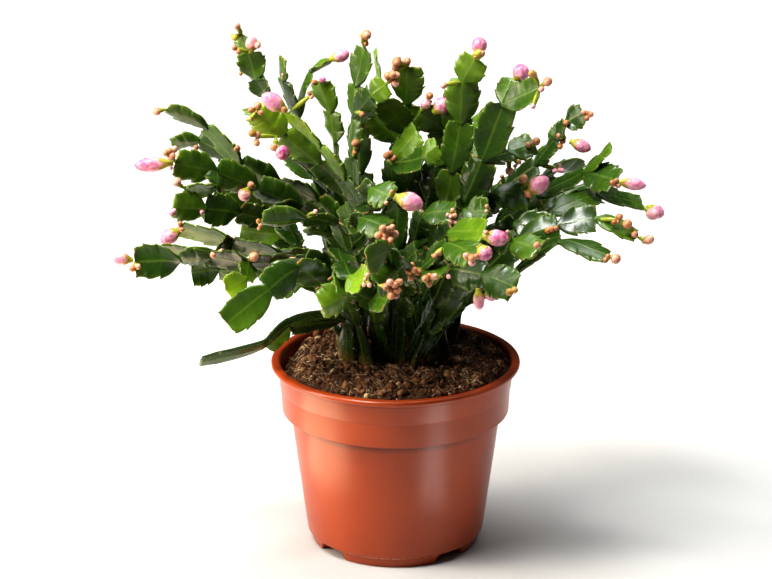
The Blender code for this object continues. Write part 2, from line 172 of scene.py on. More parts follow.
def polypropylene():
    material, tree, shader = newMaterial("terracotta_polypropylene_moulded")
    broad = mottle(tree, 22, 2.0)
    fine = mottle(tree, 1.6, 4.0)
    colour = addNode(tree, "ShaderNodeValToRGB",
                     {"stops": [(0.3, "#94390F"), (0.7, "#9E3F13")]}, {"Fac": broad})
    # painted shade in the corners under the ledge and under the rolled rim, where shadow falls, and torn
    # flash above the feet
    place = addNode(tree, "ShaderNodeTexCoord").outputs["Object"]
    height = addNode(tree, "ShaderNodeSeparateXYZ", {}, {0: place}).outputs["Z"]
    share = addNode(tree, "ShaderNodeMath", {"operation": "DIVIDE", 1: pot["rimHeight"] * mm}, {0: height})
    painted_shade, flash = (addNode(tree, "ShaderNodeValToRGB", {"stops": [
        (z / pot["rimHeight"], "#" + "%02X" % int(255 * amount) * 3) for z, amount in pot[key]]},
        {"Fac": share.outputs[0]}) for key in ("painted_shade", "flash"))
    # painted shade: the base colour is darkened towards a deep red-brown where the painted shade mask is high
    shade_mixed = addNode(tree, "ShaderNodeMix", {"data_type": "RGBA", 7: linear("#240906")},
                     {0: painted_shade.outputs["Color"], 6: colour.outputs["Color"]})
    torn = addNode(tree, "ShaderNodeMapRange", {"From Min": 0.48, "From Max": 0.52}, {"Value": fine})
    flashShare = addNode(tree, "ShaderNodeMath", {"operation": "MULTIPLY"},
                         {0: flash.outputs["Color"], 1: torn.outputs["Result"]})
    edged = addNode(tree, "ShaderNodeMix", {"data_type": "RGBA", 7: linear("#E2B08E")},
                    {0: flashShare.outputs[0], 6: shade_mixed.outputs[2]})
    rough = addNode(tree, "ShaderNodeMapRange", {"To Min": 0.27, "To Max": 0.36}, {"Value": broad})
    bump = addNode(tree, "ShaderNodeBump", {"Strength": 0.12, "Distance": 0.05 * mm}, {"Height": fine})
    tree.links.new(edged.outputs[2], shader.inputs["Base Color"])
    tree.links.new(rough.outputs["Result"], shader.inputs["Roughness"])
    tree.links.new(bump.outputs["Normal"], shader.inputs["Normal"])
    shader.inputs["IOR"].default_value = 1.49
    return material


def arc(centreR, centreZ, radius, start, end, steps):
    # points on a circle in the profile plane, angles in degrees from outwards
    turn = np.radians(np.linspace(start, end, steps))
    return [(centreR + radius * math.cos(t), centreZ + radius * math.sin(t)) for t in turn]


def makePot():
    # the outline goes up the inside, over the rolled bead, down the band and wall, and under the foot ring;
    # between two feet the foot rows are lifted to the floor, with sides that slant from gapLow to gapHigh
    p, half = pot, pot["beadHeight"] / 2
    inside = p["bandTop"] - p["wall"]
    outline = [(0.3, p["floor"]), (p["wallFoot"] - 2.6, p["floor"])]
    outline += arc(p["wallFoot"] - 2.6, p["floor"] + 1.4, 1.4, -90, 0, 5)
    outline += [(p["wallTop"] - p["wall"], p["ledgeHeight"]), (p["ledge"] - 2.2, p["ledgeHeight"] + 1.4),
                (p["ledge"] - 1.2, p["ledgeHeight"] + 2.4), (inside - 0.2, p["rimHeight"] - 5.0)]
    outline += arc(inside + 1.4, p["rimHeight"] - 1.4, 1.4, 180, 90, 6)
    outline += arc(p["rimRadius"] - half, p["rimHeight"] - half, half, 90, -90, 14)
    outline += arc(p["bandTop"] + 0.5, p["rimHeight"] - p["beadHeight"] - 0.5, 0.5, 90, 180, 5)
    outline += [(p["bandStep"] + 0.12, p["stepHeight"] + 0.3), (p["bandStep"], p["stepHeight"] + 0.05),
                (p["bandStep"] - 0.3, p["stepHeight"] - 0.15), (p["bandStep"] - 0.34, p["stepHeight"] - 0.6)]
    outline += arc(p["ledge"] - 0.9, p["ledgeHeight"] + 0.9, 0.9, 0, -90, 8)
    outline += [(p["wallTop"] + 1.1, p["ledgeHeight"] - 0.05)]
    outline += arc(p["wallTop"] + 1.0, p["ledgeHeight"] - 1.05, 1.0, 90, 180, 6)[1:]
    outline += [(r, z) for r, z in zip(np.linspace(p["wallTop"] - 0.2, p["wallFoot"] + 0.2, 9),
                                       np.linspace(p["ledgeHeight"] - 3, p["floor"] + 1.2, 9))]
    outline += arc(p["wallFoot"] - 0.8, p["floor"] + 0.7, 0.9, 0, -90, 5)
    footStart = len(outline)
    outline += [(p["foot"] + 0.9, p["floor"] - 0.6), (p["foot"] + 0.5, 3.0), (p["foot"] + 0.1, 0.5)]
    outline += [(p["foot"] - 0.4, 0.0), (p["foot"] - p["footDepth"] + 0.4, 0.0)]
    outline += [(p["foot"] - p["footDepth"], 0.5), (p["foot"] - p["footDepth"], 3.2)]
    footEnd = len(outline)
    outline += [(p["foot"] - p["footDepth"] - 0.4, p["underside"]), (0.3, p["underside"])]
    rings = turnedRings(*zip(*outline), p["count"])
    turn = np.degrees(np.linspace(0, math.tau, p["count"], endpoint=False))
    fromFront = (turn + 90 - p["footTurn"]) % (360 / p["feet"]) - 180 / p["feet"]
    fromGap = np.abs(fromFront)
    lift = (p["gapLow"] / 2 - fromGap) / ((p["gapLow"] - p["gapHigh"]) / 2)
    lift = np.clip(lift, 0, 1) * (p["underside"] - 0.1)
    rings[footStart:footEnd, :, 2] = np.maximum(rings[footStart:footEnd, :, 2], lift)
    # a thin ragged flash line where the mould halves met, just above each foot
    ragged = lumps(turn, turn * 0, 2.3, 4) * 0.22 + lumps(turn, turn * 0, 0.9, 5) * 0.12
    rings[footStart, :, :2] *= (1 + np.clip(ragged, 0, 1) * 0.012)[:, None]
    pieceOfPot = skin("plastic_pot", rings[None], polypropylene(), None, "pot")
    # six drain holes through the floor
    for index in range(p["drains"]):
        bearing = math.tau * (index + 0.5) / p["drains"]
        rod = turnedRings([p["drainRadius"]] * 2, [-5, 15], 24)
        rod[..., 0] += p["drainCircle"] * math.cos(bearing)
        rod[..., 1] += p["drainCircle"] * math.sin(bearing)
        cutter = skin("drain_cutter", rod[None], pieceOfPot.data.materials[0])
        cut = pieceOfPot.modifiers.new("drain", "BOOLEAN")
        cut.operation, cut.solver, cut.object = "DIFFERENCE", "EXACT", cutter
        applyModifiers(pieceOfPot)
        bpy.data.objects.remove(cutter)
    print("pot turned, with", p["feet"], "feet and", p["drains"], "drain holes")


def applyModifiers(piece):
    ready = piece.evaluated_get(bpy.context.evaluated_depsgraph_get())
    mesh = bpy.data.meshes.new_from_object(ready)
    piece.modifiers.clear()
    piece.data = mesh


# Damp peat with bark, pale crumbs and tan fibres: broken, matt, and dark where it is wet

soil = {
    "columns": 240, "rows": 84, "edge": 59.3, "centreTop": 101.2, "edgeTop": 98.6, "crumbs": 3400,
    "fibres": 3700, "depth": 7.0, "seed": 21,
}


def peat(name, tones, roughness):
    material, tree, shader = newMaterial(name)
    grain = mottle(tree, 1.1, 6.0, 0.4)
    tone = addNode(tree, "ShaderNodeAttribute", {"attribute_name": "tone"}).outputs["Fac"]
    both = addNode(tree, "ShaderNodeMath", {"operation": "MULTIPLY_ADD", 1: 0.55}, {0: grain, 2: tone})
    colour = addNode(tree, "ShaderNodeValToRGB", {"stops": tones}, {"Fac": both.outputs[0]})
    bump = addNode(tree, "ShaderNodeBump", {"Strength": 0.9, "Distance": 0.5 * mm}, {"Height": grain})
    tree.links.new(colour.outputs["Color"], shader.inputs["Base Color"])
    tree.links.new(bump.outputs["Normal"], shader.inputs["Normal"])
    shader.inputs["Roughness"].default_value = roughness
    shader.inputs["Specular IOR Level"].default_value = 0.25
    return material


def soilHeight(x, y):
    # a low mound, highest behind the middle on the right, with a sunken gap at the left wall,
    # plus clods of 7 mm with pits between them, and lumps of 3.5 and 1.4 mm
    s = soil
    radius = np.hypot(x, y) / s["edge"]
    mound = s["centreTop"] + (s["edgeTop"] - s["centreTop"]) * radius ** 3
    mound += 1.6 * np.exp(-((x - 26) ** 2 + (y - 22) ** 2) / 500)
    mound -= s["depth"] * np.exp(-((x + 55) / 9) ** 2 - ((y - 8) / 26) ** 2)
    mound -= 3.0 * np.clip(radius - 0.93, 0, 1) / 0.07
    clod = 1.6 - 3.2 * (1 - np.abs(lumps(x, y, 7, 1))) ** 3
    rough = clod + 1.2 * lumps(x, y, 3.5, 2) + 0.6 * lumps(x, y, 1.4, 3)
    return mound + rough * np.clip(1.12 - radius * 0.35, 0, 1)


def scatter(random, number, reach):
    # places on the soil, even over its area
    radius = reach * np.sqrt(random.uniform(0, 1, number))
    turn = random.uniform(0, math.tau, number)
    return radius * np.cos(turn), radius * np.sin(turn)


def makeSoil():
    s = soil
    random = np.random.default_rng(s["seed"])
    # the top is soilHeight over rings of growing radius; below its edge the side follows the pot's inside
    radius = s["edge"] * np.linspace(0.004, 1, s["rows"]) ** 0.9
    top = turnedRings(radius, 0 * radius, s["columns"])
    top[..., 2] = soilHeight(top[..., 0], top[..., 1])
    sides = turnedRings([59.0, 57.0, 52.6, 44.4, 0.3], [90, 76, 73.5, 6.6, 6.6], s["columns"])
    rings = np.concatenate([top, sides])[None]
    wet = 0.16 + 0.10 * lumps(rings[..., 0], rings[..., 1], 6, 9)
    tones = [(0.15, "#160D08"), (0.4, "#3A2518"), (0.6, "#5F432E"), (0.85, "#8E6B4C")]
    ground = peat("peat_damp", tones, 0.92)
    skin("peat_ground", rings, ground, {"tone": wet}, "soil")
    print("soil ground laid")
    # crumbs: six-sided beads of five rings, squashed and turned at random; a few are pale bark or dry peat
    number = s["crumbs"]
    x, y = scatter(random, number, s["edge"] - 1.5)
    size = np.minimum(random.gamma(1.8, 0.30, number) + 0.26, 2.0)
    bend = np.linspace(0.12, math.pi - 0.12, 5)
    turn = np.linspace(0, math.tau, 6, endpoint=False)
    ball = np.stack([np.sin(bend)[:, None] * np.cos(turn), np.sin(bend)[:, None] * np.sin(turn),
                     np.cos(bend)[:, None] + 0 * turn], -1)
    ball = ball[None] * (1 + random.uniform(-0.32, 0.32, (number, 5, 6, 1)))
    ball = ball * (size[:, None] * random.uniform(0.6, 1.35, (number, 3)))[:, None, None, :]
    ball = turnedAtRandom(random, ball)
    ball = ball + np.stack([x, y, soilHeight(x, y) + 0.25 * size], -1)[:, None, None, :]
    tone = random.choice([0.06, 0.22, 0.38, 0.62], number, p=[0.33, 0.38, 0.26, 0.03])
    tones = [(0.12, "#170E09"), (0.4, "#422A1B"), (0.62, "#70492F"), (0.82, "#A07A55"), (0.98, "#C9B08C")]
    skin("peat_crumbs", ball, peat("peat_crumbs_dry", tones, 0.9), {"tone": tone[:, None, None]})
    print("soil crumbs scattered:", number)
    # fibres: a four-sided thread along a bowed line, half sunk in the ground
    number = s["fibres"]
    x, y = scatter(random, number, s["edge"] - 4)
    length = random.uniform(2.5, 11, number)
    heading = random.uniform(0, math.tau, number)
    bow = random.uniform(-0.8, 0.8, number) * length
    along = np.linspace(-0.5, 0.5, 7)
    px = x[:, None] + length[:, None] * along * np.cos(heading)[:, None] - (
        bow[:, None] * (0.25 - along ** 2) * np.sin(heading)[:, None])
    py = y[:, None] + length[:, None] * along * np.sin(heading)[:, None] + (
        bow[:, None] * (0.25 - along ** 2) * np.cos(heading)[:, None])
    inside = np.clip((s["edge"] - 1.5) / np.hypot(px, py), 0, 1)
    px, py = px * inside, py * inside
    clumped = lumps(x, y, 8, 6)[:, None] > -0.15
    lean = random.uniform(-0.25, 0.35, number)[:, None] * length[:, None] * along
    pz = soilHeight(px, py) + np.where(clumped, 0.6, -0.4) + np.clip(lean, -0.8, 3.0)
    thick = (0.07 + 0.2 * random.uniform(0, 1, number) ** 2)[:, None] * (1 - 0.8 * np.abs(along) ** 1.5)
    path = np.stack([px, py, pz], -1)
    forward = unit(np.gradient(path, axis=1))
    sideways = unit(np.cross(forward, [0, 0, 1.0]))
    upward = np.cross(sideways, forward)
    turn = np.linspace(0, math.tau, 4, endpoint=False)
    ring = (sideways[:, :, None] * np.cos(turn)[:, None] + upward[:, :, None] * np.sin(turn)[:, None])
    threads = path[:, :, None] + ring * thick[:, :, None, None]
    tone = random.uniform(0.0, 1.0, number)[:, None, None] ** 1.6 * 0.75
    tones = [(0.15, "#3E2818"), (0.5, "#8C6748"), (0.9, "#D0B48E")]
    skin("peat_fibres", threads, peat("peat_fibres_dry", tones, 0.8), {"tone": tone})
    print("soil fibres laid:", number)


def turnedAtRandom(random, shapes):
    # each shape's three axes are replaced by a random right-handed set
    first = unit(random.normal(size=(len(shapes), 3)))
    second = unit(np.cross(first, random.normal(size=(len(shapes), 3))))
    third = np.cross(first, second)
    axes = np.stack([first, second, third], 1)
    return np.einsum("nrci,nij->nrcj", shapes, axes)


# Shoots: chains of flat, toothed segments with a waxy skin, dull brown and corky near the soil

shootRoutes = {  # a start point, then joints of x, y, z, twist of the blade and its width
    "left_shoot_1": [(-25, -12, 104), (-27, -18, 128, 60, 13), (-55, -31, 130, 62, 14),
        (-68, -42, 122, 70, 12), (-98, -55, 118, 64, 15)],
    "left_shoot_2": [(-15, -18, 104), (-20, -22, 127, 60, 13), (-25, -35, 144, 55, 13),
        (-36, -51, 158, 30, 15), (-49, -64, 170, 20, 17), (-63, -70, 161, 12, 18),
        (-83, -74, 145, 5, 18.5)],
    "left_shoot_3": [(-27, -3, 104), (-22, -1, 130, 60, 12), (-33, -13, 147, 60, 14),
        (-53, -21, 159, 30, 16), (-75, -25, 161, 62, 15), (-94, -27, 164, 50, 15),
        (-109, -28, 163, 55, 15), (-132, -26, 161, 8, 18.5)],
    "left_shoot_4": [(-28, 6, 104), (-23, 9, 134, 60, 12), (-40, 3, 154, 55, 14),
        (-60, -1, 158, 62, 15), (-84, -3, 165, 60, 16), (-110, -5, 173, 58, 16.5)],
    "left_shoot_5": [(-17, -10, 104), (-18, -13, 129, 60, 12), (-18, -24, 148, 60, 13),
        (-24, -35, 170, 50, 14), (-30, -45, 188, 55, 14), (-45, -51, 192, 62, 15),
        (-66, -57, 193, 55, 16)],
    "left_shoot_6": [(-29, 15, 104), (-20, 21, 133, 60, 12), (-28, 27, 153, 50, 14),
        (-50, 29, 174, 40, 16), (-72, 25, 185, 35, 17), (-93, 17, 196, 18, 18), (-113, 9, 203, 18, 18)],
    "left_shoot_7": [(-19, 18, 104), (-16, 31, 132, 60, 12), (-23, 35, 153, 50, 14),
        (-41, 37, 175, 45, 16), (-61, 35, 185, 50, 16), (-81, 31, 197, 45, 16), (-98, 27, 217, 55, 15),
        (-118, 25, 227, 60, 14)],
    "left_shoot_8": [(-52, 27, 167), (-66, 20, 170, 40, 16), (-81, 11, 176, 40, 17),
        (-98, 4, 180, 12, 18), (-114, -2, 183, 25, 17.5)],
    "left_shoot_10": [(-84, 37, 193), (-103, 41, 206, 35, 15), (-117, 43, 202, 60, 14)],
    "left_shoot_11": [(-78, -11, 166), (-92, -15, 162, 55, 14), (-120, -19, 165, 62, 15)],
    "tall_left_shoot_1": [(-10, 4, 104), (-11, 4, 138, 60, 13), (-15, 4, 164, 50, 15),
        (-22, 2, 187, 50, 16), (-39, -4, 207, 40, 17), (-56, -9, 223, 25, 17)],
    "tall_left_shoot_2": [(-58, -3, 223), (-65, 2, 240, 50, 14), (-70, 3, 249, 45, 14),
        (-74, 1, 263, 10, 15)],
    "tall_left_shoot_3": [(-60, -15, 224), (-70, -14, 237, 10, 18)],
    "tall_left_shoot_4": [(-7, -6, 104), (-6, -10, 140, 60, 13), (-11, -14, 166, 55, 15),
        (-17, -18, 188, 60, 16), (-26, -22, 204, 62, 16), (-38, -26, 222, 72, 16),
        (-53, -30, 240, 74, 16)],
    "tall_left_shoot_5": [(-4, 20, 104), (-6, 24, 123, 60, 12), (-13, 36, 140, 60, 13),
        (-23, 43, 161, 55, 14), (-35, 47, 177, 60, 15), (-46, 47, 198, 66, 16), (-51, 47, 216, 68, 14),
        (-44, 45, 242, 78, 15), (-34, 43, 248, 76, 13)],
    "tall_left_shoot_6": [(-52, 41, 221), (-58, 37, 239, 66, 15), (-59, 35, 252, 74, 12)],
    "tall_left_shoot_7": [(-11, 22, 104), (-15, 38, 123, 60, 12), (-18, 49, 136, 60, 13),
        (-29, 62, 147, 70, 13), (-31, 65, 162, 82, 14), (-31, 67, 179, 84, 14), (-32, 67, 197, 84, 14),
        (-34, 65, 215, 50, 16), (-40, 63, 232, 42, 16)],
    "tall_left_shoot_8": [(-68, 10, 240), (-76, 15, 255, 60, 13), (-78, 17, 268, 55, 13)],
    "crown_shoot_1": [(-3, 10, 104), (-4, 14, 135, 60, 13), (-11, 18, 159, 55, 14),
        (-19, 20, 177, 55, 15), (-22, 22, 202, 58, 15), (-21, 24, 223, 60, 14), (-20, 24, 240, 45, 15),
        (-16, 22, 260, 40, 15)],
    "crown_shoot_3": [(3, 13, 104), (1, 25, 127, 60, 14), (1, 30, 150, 50, 16), (2, 31, 174, 45, 16),
        (7, 30, 195, 45, 16), (8, 27, 213, 45, 17), (6, 23, 231, 30, 18), (6, 19, 251, 12, 18)],
    "crown_shoot_4": [(3, 38, 192), (1, 44, 205, 20, 17), (-15, 47, 220, 15, 18)],
    "crown_shoot_6": [(4, 23, 181), (-1, 16, 200, 40, 16), (11, 8, 220, 40, 17)],
    "crown_shoot_7": [(8, 6, 104), (5, 10, 130, 55, 14), (11, 19, 154, 45, 16), (18, 20, 177, 35, 17),
        (21, 18, 199, 20, 18), (25, 17, 218, 15, 18), (12, 14, 228, 25, 16)],
    "crown_shoot_9": [(15, 3, 104), (10, 5, 130, 55, 14), (19, 5, 157, 45, 16), (26, 5, 180, 35, 17),
        (29, 4, 200, 20, 17), (33, 1, 227, 15, 17), (34, -3, 249, 5, 18.5), (40, -8, 262, 12, 17)],
    "right_shoot_1": [(17, -4, 104), (15, -7, 134, 55, 14), (27, -7, 160, 45, 16),
        (35, -4, 184, 35, 17), (44, -6, 209, 15, 18), (54, -10, 239, 8, 19)],
    "right_shoot_2": [(56, -14, 242), (71, -26, 252, 20, 15)],
    "right_shoot_4": [(46, 4, 206), (58, 10, 208, 40, 15), (71, 14, 212, 30, 16)],
    "right_shoot_5": [(12, 19, 104), (16, 29, 127, 55, 13), (30, 37, 148, 45, 15),
        (45, 42, 165, 45, 16), (58, 42, 179, 45, 16), (74, 40, 193, 45, 16), (84, 36, 208, 62, 14),
        (88, 32, 217, 60, 12), (97, 28, 224, 20, 14)],
    "right_shoot_6": [(19, 11, 104), (18, 16, 127, 55, 13), (34, 21, 145, 50, 15),
        (54, 25, 163, 45, 16), (75, 25, 180, 35, 17), (98, 22, 194, 55, 14), (111, 18, 209, 72, 13)],
    "right_shoot_7": [(95, 12, 193), (113, 3, 195, 20, 18)],
    "right_shoot_8": [(22, 2, 104), (21, 4, 129, 55, 13), (39, 6, 147, 50, 15), (60, 7, 161, 45, 16),
        (80, 5, 177, 40, 17), (105, 17, 183, 45, 17), (129, 26, 175, 55, 15)],
    "right_shoot_9": [(24, -8, 104), (23, -10, 131, 55, 13), (42, -16, 148, 50, 15),
        (63, -20, 171, 30, 16), (82, -22, 179, 20, 17), (101, -24, 183, 25, 17),
        (121, -28, 175, 50, 14)],
    "right_shoot_10": [(13, -13, 104), (25, -21, 125, 70, 14), (36, -29, 140, 68, 13),
        (59, -40, 160, 66, 15), (81, -52, 180, 66, 14), (104, -62, 176, 50, 15)],
    "right_shoot_11": [(7, -17, 104), (14, -22, 124, 60, 13), (19, -33, 140, 60, 13),
        (27, -52, 165, 30, 17), (43, -68, 168, 12, 18.5), (58, -81, 166, 10, 18.5)],
    "right_shoot_12": [(20, -19, 167), (27, -41, 181, 30, 15), (43, -64, 189, 30, 18)],
    "right_shoot_14": [(53, -3, 169), (61, -10, 176, 30, 15), (80, -18, 175, 12, 18)],
    "right_shoot_16": [(42, 15, 176), (50, 11, 185, 30, 15), (69, 5, 186, 20, 17)],
    "front_shoot_1": [(1, -16, 104), (2, -26, 133, 55, 14), (4, -46, 151, 45, 15),
        (2, -68, 167, 40, 16), (-1, -90, 179, 35, 16), (-9, -106, 176, 30, 16)],
    "front_shoot_2": [(-7, -13, 104), (-10, -28, 130, 50, 15), (-12, -48, 149, 40, 16),
        (-4, -67, 155, 20, 17)],
    "front_shoot_3": [(-17, -48, 148), (-21, -57, 156, 40, 15), (-37, -66, 151, 20, 18)],
    "front_shoot_5": [(-11, -30, 171), (-14, -45, 183, 45, 14), (-17, -60, 194, 40, 15),
        (-5, -73, 194, 30, 16)],
    "front_shoot_7": [(9, -63, 162), (13, -77, 174, 40, 14), (22, -90, 175, 30, 16)],
    "front_shoot_9": [(-29, -54, 176), (-26, -70, 175, 45, 14), (-22, -86, 173, 40, 15),
        (-14, -98, 175, 15, 16)],
    "front_shoot_10": [(-10, -26, 179), (-12, -40, 194, 50, 14), (-12, -56, 208, 40, 15),
        (-3, -65, 207, 20, 17)],
    "back_shoot_1": [(28, 18, 104), (34, 28, 132, 60, 13), (53, 33, 158, 40, 15),
        (74, 40, 178, 25, 16), (86, 63, 186, 15, 17), (98, 77, 178, 10, 17)],
    "back_shoot_2": [(18, 29, 104), (19, 41, 134, 60, 13), (31, 50, 164, 40, 15),
        (45, 62, 188, 25, 16), (46, 85, 204, 15, 17), (52, 103, 208, 10, 17)],
    "back_shoot_3": [(7, 30, 104), (6, 42, 130, 60, 13), (15, 56, 150, 40, 15), (25, 72, 162, 25, 16),
        (18, 90, 164, 15, 17), (18, 107, 154, 10, 17)],
    "back_shoot_4": [(-1, 34, 104), (-6, 42, 136, 60, 13), (0, 52, 168, 40, 15), (4, 66, 198, 25, 16),
        (-7, 82, 222, 15, 17), (-11, 95, 240, 10, 17)],
    "back_shoot_5": [(-21, 26, 104), (-32, 36, 136, 60, 13), (-38, 53, 166, 40, 15),
        (-44, 71, 190, 25, 16), (-65, 77, 206, 15, 17), (-79, 87, 210, 10, 17)],
    "back_shoot_6": [(-28, 21, 104), (-41, 25, 128, 60, 13), (-52, 41, 148, 40, 15),
        (-64, 58, 160, 25, 16), (-88, 60, 164, 15, 17), (-105, 67, 156, 10, 17)],
    "left_shoot_9": [(-85, 11, 193), (-93, 9, 190, 50, 14), (-108, 3, 191, 62, 15)],
    "left_shoot_12": [(-76, -31, 161), (-76, -34, 155, 40, 12), (-85, -41, 151, 10, 14)],
    "tall_left_shoot_9": [(-36, 12, 192), (-49, 5, 206, 60, 13), (-54, -2, 210, 60, 10)],
    "crown_shoot_2": [(-21, 16, 228), (-12, 10, 238, 20, 16), (-5, 6, 245, 10, 14)],
    "crown_shoot_5": [(5, 19, 218), (-6, 13, 235, 30, 17)],
    "crown_shoot_8": [(8, 6, 200), (14, -5, 210, 30, 16), (21, -9, 217, 20, 14)],
    "right_shoot_3": [(54, -2, 240), (58, -4, 251, 25, 14)],
    "right_shoot_13": [(26, -71, 176), (24, -83, 188, 60, 12), (37, -102, 189, 25, 17)],
    "right_shoot_15": [(50, -43, 177), (57, -52, 180, 30, 14), (70, -65, 180, 25, 16)],
    "right_shoot_17": [(27, -4, 181), (35, -13, 184, 40, 14), (47, -20, 186, 15, 16)],
    "right_shoot_18": [(11, -7, 168), (14, -16, 182, 40, 14), (30, -23, 187, 40, 16)],
    "front_shoot_4": [(2, -93, 183), (-4, -101, 192, 45, 14), (-14, -112, 189, 35, 16)],
    "front_shoot_6": [(5, -40, 150), (4, -33, 158, 70, 13), (10, -56, 177, 50, 14)],
    "front_shoot_8": [(-25, -70, 168), (-24, -88, 164, 30, 14)],
}

segment = {
    # the edge of half a blade: share of the length, share of the width; forward teeth and a round shoulder
    "edge": [(0.0, 0.10), (0.06, 0.14), (0.13, 0.23), (0.21, 0.34), (0.30, 0.42), (0.40, 0.465),
             (0.51, 0.505), (0.497, 0.445), (0.58, 0.478), (0.67, 0.495), (0.78, 0.51), (0.762, 0.44),
             (0.83, 0.448), (0.905, 0.43), (1.0, 0.39), (0.985, 0.30), (1.0, 0.20)],
    # an old blade near the soil: the same stations with the teeth worn off
    "oldEdge": [0.30, 0.33, 0.36, 0.39, 0.41, 0.425, 0.43, 0.43, 0.43, 0.425, 0.42, 0.41, 0.39, 0.36, 0.33,
                0.29, 0.24],
    # columns round a blade, then its sizes; a shoot that starts lower than soilStart grows out of the
    # soil, and blades lower than toothedFrom lose their teeth with age
    "columns": 22, "neckThick": 2.7, "bladeThick": 1.9, "midrib": 0.6, "cup": 0.15, "fold": 0.05,
    "wave": 0.04, "bowShare": 0.65, "overlap": 0.05, "sink": 7.0, "reach": 15.0, "soilStart": 105.0,
    "toothedFrom": 158.0, "corkyTo": 110.0, "baseTurn": 0.35, "notches": (14, 22), "areole": 0.42, "seed": 7,
    # youth, from dark old green to pale new green: at the base, added at the tip, spread from blade to blade,
    # lost by a worn blade, and gained along one blade
    "youthBase": 0.04, "youthTip": 0.42, "youthSpread": (-0.14, 0.2), "youthWorn": 0.7, "youthAlong": 0.12,
}

foliage = {
    "side": 6.0, "back": (10.0, 22.0), "down": (-9.0, 2.0), "sinkWithBack": 0.33, "jitter": 2.5,
    "turn": 45, "widths": (0.95, 1.12), "tallest": 190.0, "seed": 5,
    # these two have no companion behind them
    "single": ("right_shoot_9", "right_shoot_10"),
}

# shoots that are paler than the rest as younger growth, and shoots that are darker (below 0), which on the
# right side is painted shade; then sides of the plant darkened as painted shade: the right side away from the
# light at the left, the front under the crown, and the inner shoots
shootYouthAndShade = {"left_shoot_1": 0.5, "front_shoot_9": 0.3, "tall_left_shoot_4": 0.2, "right_shoot_12": 0.25,
               "front_shoot_3": 0.4, "left_shoot_12": 0.4, "crown_shoot_9": 0.15, "left_shoot_3": -0.35,
               "tall_left_shoot_3": 0.35, "right_shoot_1": -0.15, "right_shoot_7": -0.15,
               "right_shoot_10": -0.2}
shadedSides = {"right": 0.13, "front": 0.14, "inner": 0.12}


def cladodeSkin():
    # the waxy skin of the flat stems: a smooth cuticle with a satin gloss over finely mottled green
    material, tree, shader = newMaterial("cladode_skin_waxy")
    youth, rim, wood, blush, along, across = (
        addNode(tree, "ShaderNodeAttribute", {"attribute_name": key}).outputs["Fac"]
        for key in ("youth", "rim", "wood", "blush", "along", "across"))
    patches = mottle(tree, 7.0, 3.0, 0.6)
    grain = mottle(tree, 0.9, 3.0)
    # the midrib, and faint side veins that lean forward from it: a zigzag of along - 0.3 across
    out = addNode(tree, "ShaderNodeMath", {"operation": "ABSOLUTE"}, {0: across}).outputs[0]
    midrib = addNode(tree, "ShaderNodeMapRange",
                     {"From Min": 0.02, "From Max": 0.11, "To Min": 1.0, "To Max": 0.0},
                     {"Value": out}).outputs["Result"]
    slanted = addNode(tree, "ShaderNodeMath", {"operation": "MULTIPLY_ADD", 1: -0.3}, {0: out, 2: along})
    zigzag = addNode(tree, "ShaderNodeMath", {"operation": "PINGPONG", 1: 0.085}, {0: slanted.outputs[0]})
    sideVein = addNode(tree, "ShaderNodeMapRange",
                       {"From Min": 0.0, "From Max": 0.022, "To Min": 0.18, "To Max": 0.0},
                       {"Value": zigzag.outputs[0]}).outputs["Result"]
    vein = addNode(tree, "ShaderNodeMath", {"operation": "MAXIMUM"}, {0: midrib, 1: sideVein}).outputs[0]
    shifted = addNode(tree, "ShaderNodeMath", {"operation": "MULTIPLY_ADD", 1: 0.30, 2: -0.15}, {0: patches})
    # the green ramp follows each blade's youth, lowered on shaded shoots as painted shade, plus broad random
    # patches
    age = addNode(tree, "ShaderNodeMath", {"operation": "ADD", "use_clamp": True},
                  {0: youth, 1: shifted.outputs[0]})
    green = addNode(tree, "ShaderNodeValToRGB", {"stops": [
        (0.0, "#182B0A"), (0.3, "#2B480F"), (0.6, "#4D6C15"), (0.85, "#7C9A1E"), (1.0, "#A2B62C")]},
        {"Fac": age.outputs[0]})
    veinShare = addNode(tree, "ShaderNodeMath", {"operation": "MULTIPLY", 1: 0.17}, {0: vein})
    veined = addNode(tree, "ShaderNodeMix", {"data_type": "RGBA", 7: linear("#8FA544")},
                     {0: veinShare.outputs[0], 6: green.outputs["Color"]})
    # painted highlight: the blade edges are lightened towards pale yellow-green as if they catch the light
    paintedEdgeHighlight = addNode(tree, "ShaderNodeMath", {"operation": "MULTIPLY", 1: 0.2}, {0: rim})
    edged = addNode(tree, "ShaderNodeMix", {"data_type": "RGBA", 7: linear("#9DB54A")},
                    {0: paintedEdgeHighlight.outputs[0], 6: veined.outputs[2]})
    pink = addNode(tree, "ShaderNodeMix", {"data_type": "RGBA", 7: linear("#C77A52")},
                   {0: blush, 6: edged.outputs[2]})
    corky = addNode(tree, "ShaderNodeValToRGB",
                    {"stops": [(0.3, "#4A3A22"), (0.7, "#7A6238")]}, {"Fac": grain})
    final = addNode(tree, "ShaderNodeMix", {"data_type": "RGBA"},
                    {0: wood, 6: pink.outputs[2], 7: corky.outputs["Color"]})
    rough = addNode(tree, "ShaderNodeMapRange", {"To Min": 0.20, "To Max": 0.33}, {"Value": patches})
    bump = addNode(tree, "ShaderNodeBump", {"Strength": 0.35, "Distance": 0.12 * mm}, {"Height": grain})
    soft = addNode(tree, "ShaderNodeBump", {"Strength": 0.35, "Distance": 0.5 * mm},
                   {"Height": patches, "Normal": bump.outputs["Normal"]})
    ribbed = addNode(tree, "ShaderNodeBump", {"Strength": 0.35, "Distance": 0.2 * mm},
                     {"Height": vein, "Normal": soft.outputs["Normal"]})
    tree.links.new(final.outputs[2], shader.inputs["Base Color"])
    tree.links.new(rough.outputs["Result"], shader.inputs["Roughness"])
    tree.links.new(ribbed.outputs["Normal"], shader.inputs["Normal"])
    shader.inputs["IOR"].default_value = 1.45
    shader.inputs["Specular IOR Level"].default_value = 0.44
    return material


